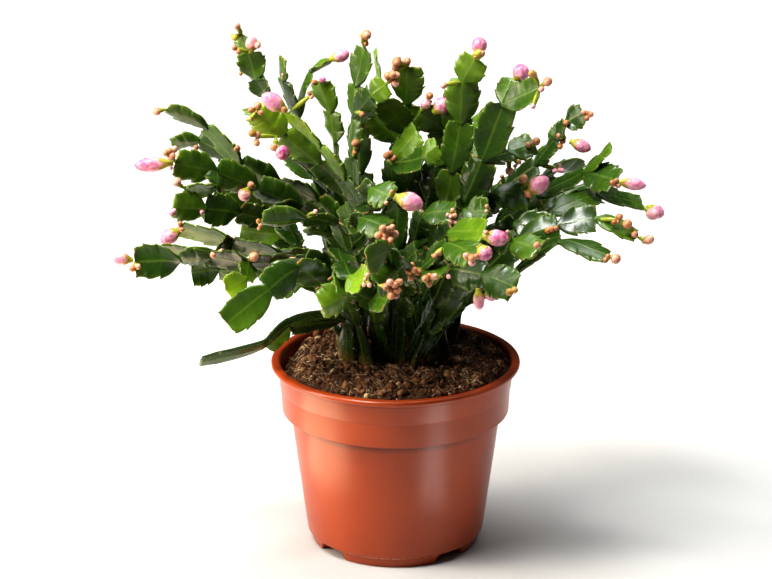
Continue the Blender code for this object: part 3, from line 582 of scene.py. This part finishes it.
def areoleWool():
    # the tan woolly tufts in the notches of the blades
    material, tree, shader = newMaterial("areole_wool_tan")
    colour = addNode(tree, "ShaderNodeValToRGB", {"stops": [(0.3, "#8A6434"), (0.7, "#D2B27C")]},
                     {"Fac": mottle(tree, 0.3, 2.0)})
    tree.links.new(colour.outputs["Color"], shader.inputs["Base Color"])
    shader.inputs["Roughness"].default_value = 0.85
    return material


def edgeOfBlade(random, age, steps=2):
    # the edge outline with each tooth moved a little, and every stretch halved: share along, share out
    keys = np.array(segment["edge"])
    keys[3:-2, 1] *= 1 + random.uniform(-0.07, 0.05, len(keys) - 5)
    keys[5:-3, 0] += random.uniform(-0.025, 0.025)
    keys[-3:, 1] *= random.uniform(0.85, 1.15)
    keys[:, 1] += (np.array(segment["oldEdge"]) - keys[:, 1]) * age
    place = np.linspace(0, len(keys) - 1, steps * (len(keys) - 1) + 1)
    number = np.arange(len(keys))
    return np.interp(place, number, keys[:, 0]), np.interp(place, number, keys[:, 1])


def segmentRings(before, after, leaving, arriving, twists, width, side, age, random):
    # A blade's middle line is a cubic from joint to joint. Each row is a lens-shaped ring across it:
    # across = half width * cos a, out = half thickness * sin a to the power 0.6, plus a midrib, a cup
    # across the blade and a wave in its edges. Towards the edge, rows slide along to follow the teeth.
    s = segment
    turn = np.linspace(0, math.tau, s["columns"], endpoint=False)
    v, face = np.cos(turn), np.sin(turn)
    leftAlong, leftOut = edgeOfBlade(random, age)
    rightAlong, rightOut = edgeOfBlade(random, age)
    rows = len(leftAlong)
    t = np.linspace(0, 1, rows) ** 0.9 * (1 + s["overlap"]) - s["overlap"]
    length = np.linalg.norm(after - before)
    u = t[:, None]
    middle = ((2 * u ** 3 - 3 * u ** 2 + 1) * before + (u ** 3 - 2 * u ** 2 + u) * length * leaving
              + (3 * u ** 2 - 2 * u ** 3) * after + (u ** 3 - u ** 2) * length * arriving)
    forward = unit(np.gradient(middle, axis=0))
    level = unit(np.cross(forward, side))
    angle = np.radians(twists[0] + (twists[1] - twists[0]) * np.clip(t * 2.5, 0, 1))[:, None]
    across = np.cos(angle) * level + np.sin(angle) * np.cross(level, forward)
    outward = np.cross(forward, across)
    edgeAlong = np.where(v > 0, leftAlong[:, None], rightAlong[:, None])
    edgeOut = np.where(v > 0, leftOut[:, None], rightOut[:, None])
    spread = width * edgeOut * v
    slide = (edgeAlong - (t[:, None] + s["overlap"]) / (1 + s["overlap"])) * length * np.abs(v) ** 2.5
    thick = np.interp(t, [0, 0.2, 0.5, 0.9, 1.0], [s["neckThick"], 2.3, s["bladeThick"], 1.6, 1.1])[:, None]
    rib = s["midrib"] * np.exp(-(v / 0.13) ** 2) * np.interp(t, [0, 0.3, 1], [0.3, 1.0, 0.35])[:, None]
    out = np.sign(face) * np.abs(face) ** 0.6 * thick / 2 + np.sign(face) * rib
    flat = np.clip(t[:, None] * 3, 0, 1) * (1 - 0.7 * age)
    cup = random.uniform(-1, 1) * s["cup"]
    wave = s["wave"] * np.sin(math.tau * (1.6 * t[:, None] + random.uniform(0, 1)) + np.sign(v) * 1.1)
    fold = s["fold"] * random.choice([-1, 1])
    out = out + width * flat * (cup * (v ** 2 - 0.3) + fold * (np.abs(v) - 0.4) + wave * np.abs(v) ** 2)
    rings = (middle[:, None] + across[:, None] * spread[..., None] + forward[:, None] * slide[..., None]
             + outward[:, None] * out[..., None])
    rim = np.abs(v) ** 10 * flat
    return rings, rim, t[:, None] + 0 * v, 0 * t[:, None] + v


def startOf(name, route):
    # a shoot out of the soil starts a little below it, and a side shoot at the nearest joint of another shoot
    start = np.array(route[0], float)
    step = np.array(route[1][:3]) - start
    if start[2] < segment["soilStart"]:
        return start - segment["sink"] * step / np.linalg.norm(step)
    joints = np.array([j[:3] for other, joints in shootRoutes.items() if other != name
                       for j in joints[1:]], float)
    gap = np.linalg.norm(joints - start, axis=1)
    nearest = joints[gap.argmin()]
    return nearest if gap.min() < segment["reach"] else start


def innerRoutes():
    # More shoots stand behind the ones in the table and fill the plant: each follows one of them, set back
    # and a little down, with its blades turned otherwise, and it stops short of the tip.
    f = foliage
    random = np.random.default_rng(f["seed"])
    routes = {}
    for name, route in shootRoutes.items():
        if len(route) < 5 or route[0][2] > segment["soilStart"]:
            continue
        shift = np.array([random.uniform(-f["side"], f["side"]), random.uniform(*f["back"]), 0])
        shift[2] = random.uniform(*f["down"]) - shift[1] * f["sinkWithBack"]
        if name.startswith("back"):
            shift[1] *= -0.8
        kept = [j for j in route[1:-1] if j[2] < f["tallest"] or not name.startswith("tall")]
        joints = [route[1][:3]]
        for k, joint in enumerate(kept[1:]):
            place = np.array(joint[:3]) + shift * min(1, (k + 1) / 2)
            place = place + random.uniform(-f["jitter"], f["jitter"], 3)
            twist = joint[3] + random.uniform(-f["turn"], f["turn"])
            joints.append((*place, twist, joint[4] * random.uniform(*f["widths"])))
        if name not in f["single"]:
            routes["inner_%s_1" % name] = joints
    return routes


def makeShoot(name, route, material):
    random = np.random.default_rng([segment["seed"], *name.encode()])
    side = backSide if name.startswith("back") else showSide
    points = np.array([startOf(name, route)] + [j[:3] for j in route[1:]], float)
    chord = unit(np.diff(points, axis=0))
    last = len(chord)
    turned = np.concatenate([chord[:1], unit(chord[:-1] + chord[1:]), chord[-1:]]) if last > 1 else (
        np.concatenate([chord, chord]))
    shells, rims, alongs, acrosses, youths, woods, blushes, tufts = ([] for _ in range(8))
    fromSoil = points[0][2] < segment["soilStart"]
    for number in range(last):
        bow = segment["bowShare"]
        leaving = chord[number] * (1 - bow) + turned[number] * bow
        arriving = chord[number] * (1 - bow) + turned[number + 1] * bow
        twist, width = route[number + 1][3:]
        lastTwist = route[number][3] if number else twist
        if number == 0 and fromSoil and points[0][1] < 0:
            lastTwist = twist * segment["baseTurn"]
        age = float(np.clip((segment["toothedFrom"] - points[number + 1][2]) / 30, 0, 1)) * fromSoil
        rings, rim, t, v = segmentRings(points[number], points[number + 1], leaving, arriving,
                                     (lastTwist, twist), width, side, age, random)
        share = (number + 1) / last
        youth = segment["youthBase"] + segment["youthTip"] * share ** 2
        youth = youth + random.uniform(*segment["youthSpread"]) + shootYouthAndShade.get(name, 0) * share
        # painted shade: shoots on the shaded sides get a darker green, taken off their youth
        youth = (youth - shadedSides.get(name.split("_")[0], 0)) * (1 - segment["youthWorn"] * age)
        height = rings[..., 2]
        shells.append(rings)
        rims.append(rim * (1 - age))
        alongs.append(t)
        acrosses.append(v)
        half = segment["columns"] // 2
        if age < 0.5:
            tufts += [rings[row, edge] for row in segment["notches"] for edge in (0, half)]
            tufts += [rings[-1, half // 2]]
        youths.append(np.clip(youth + segment["youthAlong"] * (t - 0.5), 0, 1))
        woods.append(np.clip((segment["corkyTo"] - height) / 12, 0, 0.8) * fromSoil)
        blushes.append(np.clip((t - 0.86) / 0.14, 0, 1) * rim * (random.uniform() < 0.35) * 0.9)
    attributes = {"youth": np.array(youths), "rim": np.array(rims), "wood": np.array(woods),
                  "blush": np.array(blushes), "along": np.array(alongs), "across": np.array(acrosses)}
    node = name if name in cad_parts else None
    skin(name + "_segments", np.array(shells), material, attributes, node)
    return tufts


def makeAreoles(places, material):
    # one tuft in each notch and one at each tip: a ball of four rings of six points, squashed at random
    random = np.random.default_rng(12)
    bend = np.linspace(0.3, math.pi - 0.3, 4)[:, None]
    turn = np.linspace(0, math.tau, 6, endpoint=False)
    ball = np.stack([np.sin(bend) * np.cos(turn), np.sin(bend) * np.sin(turn), np.cos(bend) + 0 * turn], -1)
    size = segment["areole"] * random.uniform(0.5, 1.3, (len(places), 1, 1, 3))
    skin("areole_tufts", ball * size + np.array(places)[:, None, None], material, None)
    print("areoles made:", len(places))


# Buds: eggs of overlapping tepals on a short green neck, from olive beads to pink with magenta tips

bigBuds = {  # shoot, joint, place from the joint, from base to tip, radius, ripeness
    "bud_left_1": ("left_shoot_3", 7, (-1, 0, 1), (-10, -2, 2), 3.4, 0.65),
    "bud_left_2": ("left_shoot_4", 5, (0, -1, -1), (-10, -3, -6), 4.0, 0.8),
    "bud_left_3": ("left_shoot_6", 6, (-1, 0, 0), (-20, -2, -1), 3.9, 0.85),
    "bud_tall_left": ("tall_left_shoot_4", 6, (-1, -1, 1), (-12, -1, 9), 4.3, 0.75),
    "bud_crown": ("crown_shoot_9", 7, (1, 1, 2), (1, -2, 9), 3.9, 0.85),
    "bud_right_1": ("right_shoot_5", 6, (6, -11, 2), (11, -2, -4), 3.4, 0.8),
    "bud_right_2": ("right_shoot_8", 6, (2, 1, -1), (9, -3, -4), 3.7, 0.8),
    "bud_front": ("front_shoot_10", 3, (2, -2, 1), (14, -2, -4), 4.6, 0.7),
    "bud_left_4": ("left_shoot_6", 4, (-4, -2, 1), (-4, -2, -7), 3.7, 0.6),
    "bud_left_5": ("left_shoot_3", 3, (-3, -2, 2), (-8, -3, -11), 4.3, 0.72),
    "bud_tall_left_2": ("tall_left_shoot_2", 3, (1, -1, 0), (1, -1, 9), 3.2, 0.6),
    "bud_tall_left_3": ("tall_left_shoot_3", 0, (0, -3, -6), (6, -5, -2), 3.8, 0.98),
    "bud_tall_left_4": ("tall_left_shoot_5", 8, (0, -1, 1), (10, -1, 4), 3.4, 0.75),
    "bud_crown_2": ("crown_shoot_7", 6, (7, -3, 1), (8, -1, 7), 4.2, 0.8),
    "bud_crown_3": ("crown_shoot_3", 4, (-1, -5, 4), (8, -4, 4), 4.2, 0.85),
    "bud_right_3": ("right_shoot_3", 1, (2, -1, -1), (5, -1, 8), 4.2, 0.85),
    "bud_right_4": ("right_shoot_7", 1, (0, -1, 0), (15, -1, -2), 3.2, 0.8),
    "bud_right_5": ("right_shoot_16", 2, (-2, -2, 2), (11, -1, 9), 4.5, 0.75),
    "bud_right_6": ("right_shoot_12", 2, (-1, -1, -2), (13, -1, -1), 4.1, 0.9),
    "bud_right_7": ("right_shoot_13", 2, (2, -1, 6), (5, -1, -7), 3.9, 0.85),
    "bud_right_8": ("right_shoot_11", 4, (-3, -2, -6), (1, -1, -11), 2.8, 0.7),
    "bud_right_9": ("right_shoot_11", 4, (1, -2, -6), (4, -1, -6), 2.8, 0.7),
}

beadGroups = [  # shoot, joint, place from the joint, beads, spread, bead size, ripeness
    ("left_shoot_7", 7, (-5, -3, 0), 1, 0.0, 4.7, 0.35),
    ("left_shoot_10", 1, (-1, -3, -3), 1, 0.0, 4.1, 0.35),
    ("left_shoot_6", 6, (-2, -4, 6), 5, 3.1, 4.1, 0.4), ("left_shoot_6", 6, (-2, -3, -2), 1, 0.0, 2.6, 0.7),
    ("left_shoot_9", 2, (-4, -3, 4), 1, 0.0, 5.2, 0.45), ("left_shoot_8", 4, (0, -4, -1), 2, 1.6, 3.6, 0.7),
    ("left_shoot_8", 3, (-1, -3, -1), 1, 0.0, 3.1, 0.7), ("left_shoot_7", 5, (-1, -3, 8), 1, 0.0, 4.1, 0.3),
    ("tall_left_shoot_3", 0, (-10, -4, 1), 3, 3.6, 4.1, 0.3),
    ("left_shoot_6", 4, (-3, -3, 2), 1, 0.0, 4.7, 0.4), ("left_shoot_4", 5, (0, -4, 1), 2, 2.1, 3.6, 0.4),
    ("left_shoot_11", 2, (-3, -3, 1), 1, 0.0, 5.2, 0.5), ("left_shoot_3", 7, (1, -4, -2), 2, 2.1, 3.6, 0.4),
    ("left_shoot_3", 5, (2, -3, 2), 1, 0.0, 4.1, 0.5), ("left_shoot_11", 1, (3, -3, -1), 1, 0.0, 4.7, 0.5),
    ("left_shoot_11", 1, (4, -3, 2), 1, 0.0, 3.1, 0.5), ("left_shoot_3", 4, (3, -3, 3), 1, 0.0, 6.7, 0.45),
    ("left_shoot_4", 3, (-1, -3, -3), 1, 0.0, 3.1, 0.3), ("left_shoot_3", 3, (1, -3, 1), 1, 0.0, 5.7, 0.5),
    ("left_shoot_5", 6, (-1, -4, -1), 3, 2.1, 2.6, 0.3), ("left_shoot_5", 5, (5, -3, 4), 1, 0.0, 3.1, 0.5),
    ("left_shoot_3", 2, (0, -4, 2), 4, 3.1, 3.1, 0.45),
    ("tall_left_shoot_2", 3, (5, -3, 5), 1, 0.0, 4.1, 0.5),
    ("tall_left_shoot_8", 2, (-2, -3, 5), 1, 0.0, 4.7, 0.5),
    ("tall_left_shoot_8", 2, (-4, -3, 0), 1, 0.0, 4.7, 0.2),
    ("tall_left_shoot_2", 3, (-6, -4, 3), 2, 2.6, 3.6, 0.35),
    ("tall_left_shoot_8", 1, (-3, -3, -6), 1, 0.0, 2.6, 0.3),
    ("tall_left_shoot_4", 6, (-2, -3, 2), 1, 0.0, 3.1, 0.4),
    ("tall_left_shoot_3", 1, (0, -4, 2), 3, 4.1, 4.1, 0.35),
    ("tall_left_shoot_3", 1, (-2, -3, -4), 1, 0.0, 2.6, 0.3),
    ("tall_left_shoot_3", 0, (-1, -3, -5), 1, 0.0, 4.7, 0.4),
    ("tall_left_shoot_6", 1, (0, -3, 4), 1, 0.0, 2.6, 0.3),
    ("tall_left_shoot_7", 8, (1, -3, 2), 1, 0.0, 4.7, 0.95),
    ("tall_left_shoot_7", 8, (-2, -3, 0), 1, 0.0, 4.1, 0.35),
    ("tall_left_shoot_4", 6, (11, -4, 10), 2, 1.6, 3.1, 0.3),
    ("crown_shoot_1", 7, (1, -3, 8), 1, 0.0, 5.7, 0.5), ("crown_shoot_1", 7, (-1, -3, 7), 1, 0.0, 4.1, 0.3),
    ("crown_shoot_1", 7, (1, -3, 3), 1, 0.0, 3.1, 0.2),
    ("crown_shoot_4", 2, (-1, -3, 4), 1, 0.0, 5.2, 0.35),
    ("crown_shoot_2", 0, (4, -3, 0), 1, 0.0, 3.6, 0.3), ("crown_shoot_1", 4, (2, -3, 9), 1, 0.0, 5.2, 0.35),
    ("crown_shoot_1", 4, (1, -3, 4), 1, 0.0, 3.6, 0.3), ("crown_shoot_2", 2, (3, -4, 5), 5, 3.6, 5.2, 0.4),
    ("crown_shoot_3", 7, (-5, -3, 4), 1, 0.0, 5.2, 0.4), ("crown_shoot_3", 7, (0, -3, 4), 1, 0.0, 4.7, 0.4),
    ("crown_shoot_3", 7, (-6, -3, 0), 1, 0.0, 4.1, 0.4), ("crown_shoot_7", 6, (4, -3, 6), 1, 0.0, 5.7, 0.7),
    ("crown_shoot_7", 6, (5, -3, 10), 1, 0.0, 4.1, 0.25),
    ("crown_shoot_9", 6, (-10, -3, -1), 1, 0.0, 4.1, 0.4),
    ("crown_shoot_6", 1, (-2, -4, 6), 3, 3.1, 4.1, 0.35),
    ("crown_shoot_9", 7, (0, -3, 3), 1, 0.0, 4.7, 0.15),
    ("crown_shoot_9", 7, (2, -4, 2), 2, 4.1, 3.1, 0.35),
    ("right_shoot_2", 1, (-3, -3, 7), 1, 0.0, 4.7, 0.3),
    ("right_shoot_2", 1, (4, -3, 4), 1, 0.0, 5.2, 0.35), ("right_shoot_2", 1, (1, -3, 0), 1, 0.0, 3.1, 0.6),
    ("right_shoot_2", 1, (-3, -3, -9), 1, 0.0, 3.1, 0.5),
    ("right_shoot_4", 2, (1, -3, 2), 1, 0.0, 5.7, 0.4), ("right_shoot_4", 2, (-3, -3, 0), 1, 0.0, 4.1, 0.2),
    ("right_shoot_5", 7, (0, -3, 2), 1, 0.0, 3.6, 0.3), ("right_shoot_5", 8, (2, -4, 0), 4, 2.6, 3.6, 0.35),
    ("right_shoot_5", 6, (2, -4, 0), 4, 3.1, 3.6, 0.35),
    ("right_shoot_7", 1, (-1, -4, 0), 3, 2.6, 3.6, 0.35),
    ("right_shoot_8", 6, (4, -3, -4), 1, 0.0, 6.7, 0.5),
    ("right_shoot_9", 5, (10, -4, 1), 3, 2.6, 3.6, 0.35),
    ("right_shoot_9", 6, (-5, -3, 8), 1, 0.0, 5.7, 0.45),
    ("right_shoot_9", 6, (-1, -3, 2), 1, 0.0, 4.7, 0.3),
    ("right_shoot_9", 6, (5, -3, -1), 1, 0.0, 6.7, 0.55),
    ("right_shoot_10", 5, (4, -3, 0), 1, 0.0, 6.2, 0.5),
    ("right_shoot_10", 5, (-1, -4, 0), 2, 2.1, 3.6, 0.3),
    ("right_shoot_4", 1, (0, -3, -9), 1, 0.0, 5.2, 0.4),
    ("right_shoot_5", 4, (-2, -3, 8), 1, 0.0, 3.1, 0.3),
    ("right_shoot_4", 1, (5, -4, -5), 2, 3.1, 2.6, 0.3),
    ("right_shoot_16", 2, (-4, -3, 10), 1, 0.0, 5.2, 0.4),
    ("right_shoot_16", 2, (-2, -3, 3), 1, 0.0, 4.1, 0.25),
    ("right_shoot_5", 5, (11, -4, -1), 4, 3.1, 3.1, 0.6),
    ("right_shoot_17", 2, (-1, -4, 3), 2, 2.1, 2.6, 0.5),
    ("right_shoot_18", 2, (-2, -4, -2), 6, 4.1, 3.1, 0.5),
    ("right_shoot_12", 2, (1, -3, 1), 1, 0.0, 2.6, 0.4),
    ("right_shoot_15", 1, (-2, -3, 6), 1, 0.0, 2.6, 0.4),
    ("right_shoot_13", 2, (-1, -4, 0), 4, 3.6, 4.1, 0.45),
    ("right_shoot_14", 2, (-1, -4, 1), 4, 4.1, 3.6, 0.25),
    ("right_shoot_15", 2, (-1, -3, 4), 1, 0.0, 3.6, 0.3),
    ("right_shoot_11", 5, (-3, -3, -1), 1, 0.0, 4.1, 0.25),
    ("right_shoot_11", 5, (-1, -3, 0), 1, 0.0, 3.6, 0.25),
    ("front_shoot_10", 3, (1, -3, 4), 1, 0.0, 2.6, 0.4),
    ("front_shoot_10", 3, (-2, -3, -2), 1, 0.0, 3.1, 0.4),
    ("front_shoot_5", 3, (1, -4, -2), 9, 6.2, 4.1, 0.4),
    ("front_shoot_1", 4, (-6, -4, 1), 8, 4.7, 3.1, 0.4), ("front_shoot_1", 5, (7, -4, 0), 9, 5.0, 3.9, 0.36),
    ("front_shoot_9", 3, (0, -4, 2), 4, 3.6, 2.6, 0.5), ("front_shoot_7", 1, (-5, -4, 1), 5, 3.8, 4.1, 0.33),
    ("front_shoot_7", 2, (-6, -4, 0), 4, 3.2, 3.6, 0.4),
    ("right_shoot_13", 1, (-6, -3, -4), 1, 0.0, 2.6, 0.4),
    ("right_shoot_13", 1, (-3, -3, -3), 1, 0.0, 2.6, 0.4),
    ("front_shoot_7", 2, (3, -3, 1), 1, 0.0, 2.6, 0.7),
]


budScale = {"big": 0.92, "bead": 0.94, "spread": 0.74}

# rows of tepals on a big bud: how many, where they part, how far the points reach, turn of the row, thickness
tepalRows = [(4, 0.17, 0.20, 0.0, 0.07), (5, 0.42, 0.26, 0.5, 0.06), (4, 0.70, 0.20, 0.2, 0.05)]


def tepalSkin():
    # thin moist petal-like tepals: satin, olive at the neck, then copper, peach, pink and magenta
    material, tree, shader = newMaterial("bud_tepal_skin")
    tone = addNode(tree, "ShaderNodeAttribute", {"attribute_name": "tone"}).outputs["Fac"]
    veins = mottle(tree, 1.4, 3.0)
    shifted = addNode(tree, "ShaderNodeMath", {"operation": "MULTIPLY_ADD", 1: 0.16, 2: -0.08}, {0: veins})
    ripe = addNode(tree, "ShaderNodeMath", {"operation": "ADD", "use_clamp": True},
                   {0: tone, 1: shifted.outputs[0]})
    colour = addNode(tree, "ShaderNodeValToRGB", {"stops": [
        (0.0, "#8C962A"), (0.14, "#B9A63C"), (0.27, "#A06432"), (0.42, "#B87C50"), (0.56, "#DDA090"),
        (0.74, "#DE8BA9"), (1.0, "#BC4482")]}, {"Fac": ripe.outputs[0]})
    edge = addNode(tree, "ShaderNodeAttribute", {"attribute_name": "edge"}).outputs["Fac"]
    flecks = addNode(tree, "ShaderNodeMapRange", {"From Min": 0.42, "From Max": 0.66, "To Max": 0.55},
                     {"Value": mottle(tree, 2.2, 2.0)})
    pale = addNode(tree, "ShaderNodeMath", {"operation": "MULTIPLY"},
                   {0: flecks.outputs[0], 1: ripe.outputs[0]})
    mottled = addNode(tree, "ShaderNodeMix", {"data_type": "RGBA", 7: linear("#F2D6CE")},
                      {0: pale.outputs[0], 6: colour.outputs["Color"]})
    edgeShare = addNode(tree, "ShaderNodeMath", {"operation": "MULTIPLY", 1: 0.6}, {0: edge})
    edged = addNode(tree, "ShaderNodeMix", {"data_type": "RGBA", 7: linear("#C14C80")},
                    {0: edgeShare.outputs[0], 6: mottled.outputs[2]})
    bump = addNode(tree, "ShaderNodeBump", {"Strength": 0.25, "Distance": 0.15 * mm}, {"Height": veins})
    tree.links.new(edged.outputs[2], shader.inputs["Base Color"])
    tree.links.new(bump.outputs["Normal"], shader.inputs["Normal"])
    shader.inputs["Roughness"].default_value = 0.26
    shader.inputs["IOR"].default_value = 1.45
    return material


def pointsLine(turn, count, start, height, shift):
    # how far up a bud a row of tepals reaches: rounded points, count of them round the bud
    around = (turn * count / math.tau + shift) % 1
    return start + height * (1 - np.abs(2 * around - 1) ** 1.7)


def budRings(base, tip, radius, rows, columns, phase, layers=()):
    # radius(s) = a cone from the neck to 0.4 of the length, a swelling body, and a blunt pointed end.
    # Each row of tepals lies as a thin shell over it up to the line of its points; the place where a shell
    # ends gives the edge value, and the tone starts afresh above the first row, which keeps the neck's tone
    s = np.concatenate([np.linspace(0, 0.9, rows - 3), [0.955, 0.985, 1.0]])
    turn = np.linspace(0, math.tau, columns, endpoint=False) + phase
    body = np.interp(s, [0, 0.08, 0.18, 0.30, 0.42, 0.56, 0.70, 0.82, 0.91, 0.965, 1.0],
                     [0.38, 0.38, 0.52, 0.78, 0.94, 1.0, 0.96, 0.82, 0.60, 0.36, 0.05])
    thick, edge, tone = np.zeros((rows, columns)), np.zeros((rows, columns)), s[:, None] + 0 * turn
    for number, start, height, shift, depth in layers:
        under = pointsLine(turn, number, start, height, shift) - s[:, None]
        thick += depth * np.clip(under / 0.03, 0, 1)
        edge = np.maximum(edge, np.clip(1 - np.abs(under - 0.02) / 0.035, 0, 1))
    if layers:
        above = s[:, None] - pointsLine(turn, *layers[0][:4])
        tone = np.clip(above, 0, 1) ** 0.5 * 1.15 + 0.02
        edge = edge * (s[:, None] > 0.3)
    ring = radius * body[:, None] * (1 + thick)
    axis = tip - base
    forward = unit(axis)
    across = unit(np.cross(forward, [0.31, 0.2, 0.93]))
    up = np.cross(forward, across)
    rings = (base + s[:, None, None] * axis + ring[..., None] * np.cos(turn)[:, None] * across
             + ring[..., None] * np.sin(turn)[:, None] * up)
    return rings, tone, edge


def ripening(s, ripeness):
    # the colour share climbs quickly from the neck
    return ripeness * 1.15 * (1 - np.exp(-3.2 * s))


stalk = {"from": 4.5, "radius": 1.3}


def jointOf(shoot, number):
    return np.array(shootRoutes[shoot][number][:3], float)


def makeBuds(material):
    for name, (shoot, number, place, reach, radius, ripeness) in bigBuds.items():
        base = jointOf(shoot, number) + place
        rings, s, edge = budRings(base, base + reach, radius * budScale["big"], 48, 48,
                                  0.4 * number, tepalRows)
        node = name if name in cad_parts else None
        skin(name + "_tepals", rings[None], material,
             {"tone": ripening(s, ripeness)[None], "edge": edge[None] * ripeness}, node)
    print("big buds made:", len(bigBuds))
    random = np.random.default_rng(33)
    shells, tones = {}, {}
    for shoot, number, place, beads, spread, size, ripeness in beadGroups:
        centre = jointOf(shoot, number) + place
        if np.linalg.norm(place) > stalk["from"]:
            # a young green stalk carries the beads that stand off their joint
            rings, s, _ = budRings(jointOf(shoot, number), centre, stalk["radius"], 9, 10, 0)
            shells.setdefault(shoot, []).append(rings)
            tones.setdefault(shoot, []).append(0 * s)
        for k in range(beads):
            # beads stand on a sunflower spiral and lean out from its middle
            reach, turn = spread * budScale["spread"] * math.sqrt((k + 0.4) / beads), 2.4 * k + number
            offset = np.array([0.8 * reach * math.cos(turn), random.uniform(-0.3, 0.3) * spread,
                               1.1 * reach * math.sin(turn)])
            lean = unit(offset / (spread + 0.5) + random.uniform(-0.35, 0.35, 3) + [0, -0.55, 0.15])
            bead = size * budScale["bead"] * random.uniform(0.78, 1.1)
            base = centre + offset - lean * bead * 0.55
            tip = base + lean * bead * random.uniform(1.25, 1.6)
            rings, s, _ = budRings(base, tip, bead / 2, 9, 10, turn)
            shells.setdefault(shoot, []).append(rings)
            tones.setdefault(shoot, []).append(ripening(s, ripeness + random.uniform(-0.1, 0.12)))
    for shoot in shells:
        skin(shoot + "_small_buds", np.array(shells[shoot]), material,
             {"tone": np.array(tones[shoot]), "edge": 0.0})
    print("small buds made on", len(shells), "shoots")


# Stage: a pale floor, a big soft light at the left, and two low cards whose glow the pot's wall mirrors.
# The key light is high on the left, the top light is for the plant, and the four far ones for the floor.

studio = {
    "floor": 4.0, "floorColour": "#B6B6B4", "worldStrength": 0.05,
    # name: place and aim in metres, width and height, watts, spread in degrees, colour
    "lights": {
        "left_softbox": ((-1.15, -0.20, 0.85), (0, 0, 0.15), 0.6, 0.9, 16.0, 180, "#FFF3E2"),
        "left_low": ((-0.85, -0.17, 0.30), (0, 0, 0.10), 0.22, 0.50, 5.5, 180, "#FFEFDA"),
        "left_card": ((-0.135, -0.045, 0.016), (-0.12, -0.04, 0.09), 0.11, 0.09, 0.115, 150, "#FFE6BE"),
        "key_high": ((-0.38, -0.42, 1.35), (0, 0, 0.15), 0.40, 0.40, 2.7, 60, "#FFFFFF"),
        "right_card": ((0.083, -0.115, 0.014), (0.074, -0.104, 0.08), 0.045, 0.10, 0.028, 150, "#FFFFFF"),
        "top_softbox": ((0.0, 0.60, 1.5), (0, 0.6, 0.0), 2.0, 1.0, 13.0, 70, "#FFFFFF"),
        "rear_softbox": ((0.95, 0.45, 0.8), (0, 0, 0.18), 0.5, 0.8, 0.6, 180, "#FFFFFF"),
        "far_back": ((0.0, 1.75, 1.5), (0, 1.75, 0.0), 3.0, 1.2, 20.0, 90, "#FFFFFF"),
        "far_front": ((0.0, -1.95, 1.5), (0, -1.95, 0.0), 3.0, 1.2, 10.0, 90, "#FFFFFF"),
        "far_left": ((-2.0, 0.0, 1.5), (-2.0, 0, 0.0), 1.2, 2.2, 10.0, 90, "#FFFFFF"),
        "far_right": ((1.95, 0.0, 1.5), (1.95, 0, 0.0), 1.2, 2.2, 12.0, 90, "#FFFFFF"),
    },
    "cameraPlace": (-0.005, -1.33, 0.592), "cameraPitch": 71.13, "lens": 126.7,
}


def makeStage():
    s = studio
    reach = s["floor"]
    mesh = bpy.data.meshes.new("floor")
    corners = [(-reach, -reach, 0), (reach, -reach, 0), (reach, reach, 0), (-reach, reach, 0)]
    mesh.from_pydata(corners, [], [(0, 1, 2, 3)])
    floor = bpy.data.objects.new("floor", mesh)
    bpy.context.scene.collection.objects.link(floor)
    material, _, shader = newMaterial("studio_card_matt")
    shader.inputs["Base Color"].default_value = linear(s["floorColour"])
    shader.inputs["Roughness"].default_value = 0.9
    mesh.materials.append(material)
    for name, (place, aim, wide, high, watts, spread, colour) in s["lights"].items():
        lamp = bpy.data.lights.new(name, "AREA")
        lamp.shape, lamp.size, lamp.size_y, lamp.energy = "RECTANGLE", wide, high, watts
        lamp.spread, lamp.color = math.radians(spread), linear(colour)[:3]
        light = bpy.data.objects.new(name, lamp)
        light.visible_camera = False
        light.location = place
        light.rotation_euler = (Vector(aim) - Vector(place)).to_track_quat("-Z", "Y").to_euler()
        bpy.context.scene.collection.objects.link(light)
    world = bpy.data.worlds.new("studio_air")
    world.use_nodes = True
    world.node_tree.nodes["Background"].inputs["Strength"].default_value = s["worldStrength"]
    world.node_tree.nodes["Background"].inputs["Color"].default_value = (1, 1, 1, 1)
    bpy.context.scene.world = world
    bpy.context.scene.view_settings.view_transform = "Standard"
    bpy.context.scene.view_settings.look = "Medium High Contrast"
    camera = bpy.data.objects.new("camera", bpy.data.cameras.new("camera"))
    camera.location = s["cameraPlace"]
    camera.rotation_euler = (math.radians(s["cameraPitch"]), 0, 0)
    camera.data.lens = s["lens"]
    bpy.context.scene.collection.objects.link(camera)
    bpy.context.scene.camera = camera
    print("stage set")


makePot()
makeSoil()
cladode = cladodeSkin()
allRoutes = shootRoutes | innerRoutes()
notchPlaces = []
for name, route in allRoutes.items():
    notchPlaces += makeShoot(name, route, cladode)
print("shoots skinned:", len(allRoutes))
makeAreoles(notchPlaces, areoleWool())
makeBuds(tepalSkin())
makeStage()
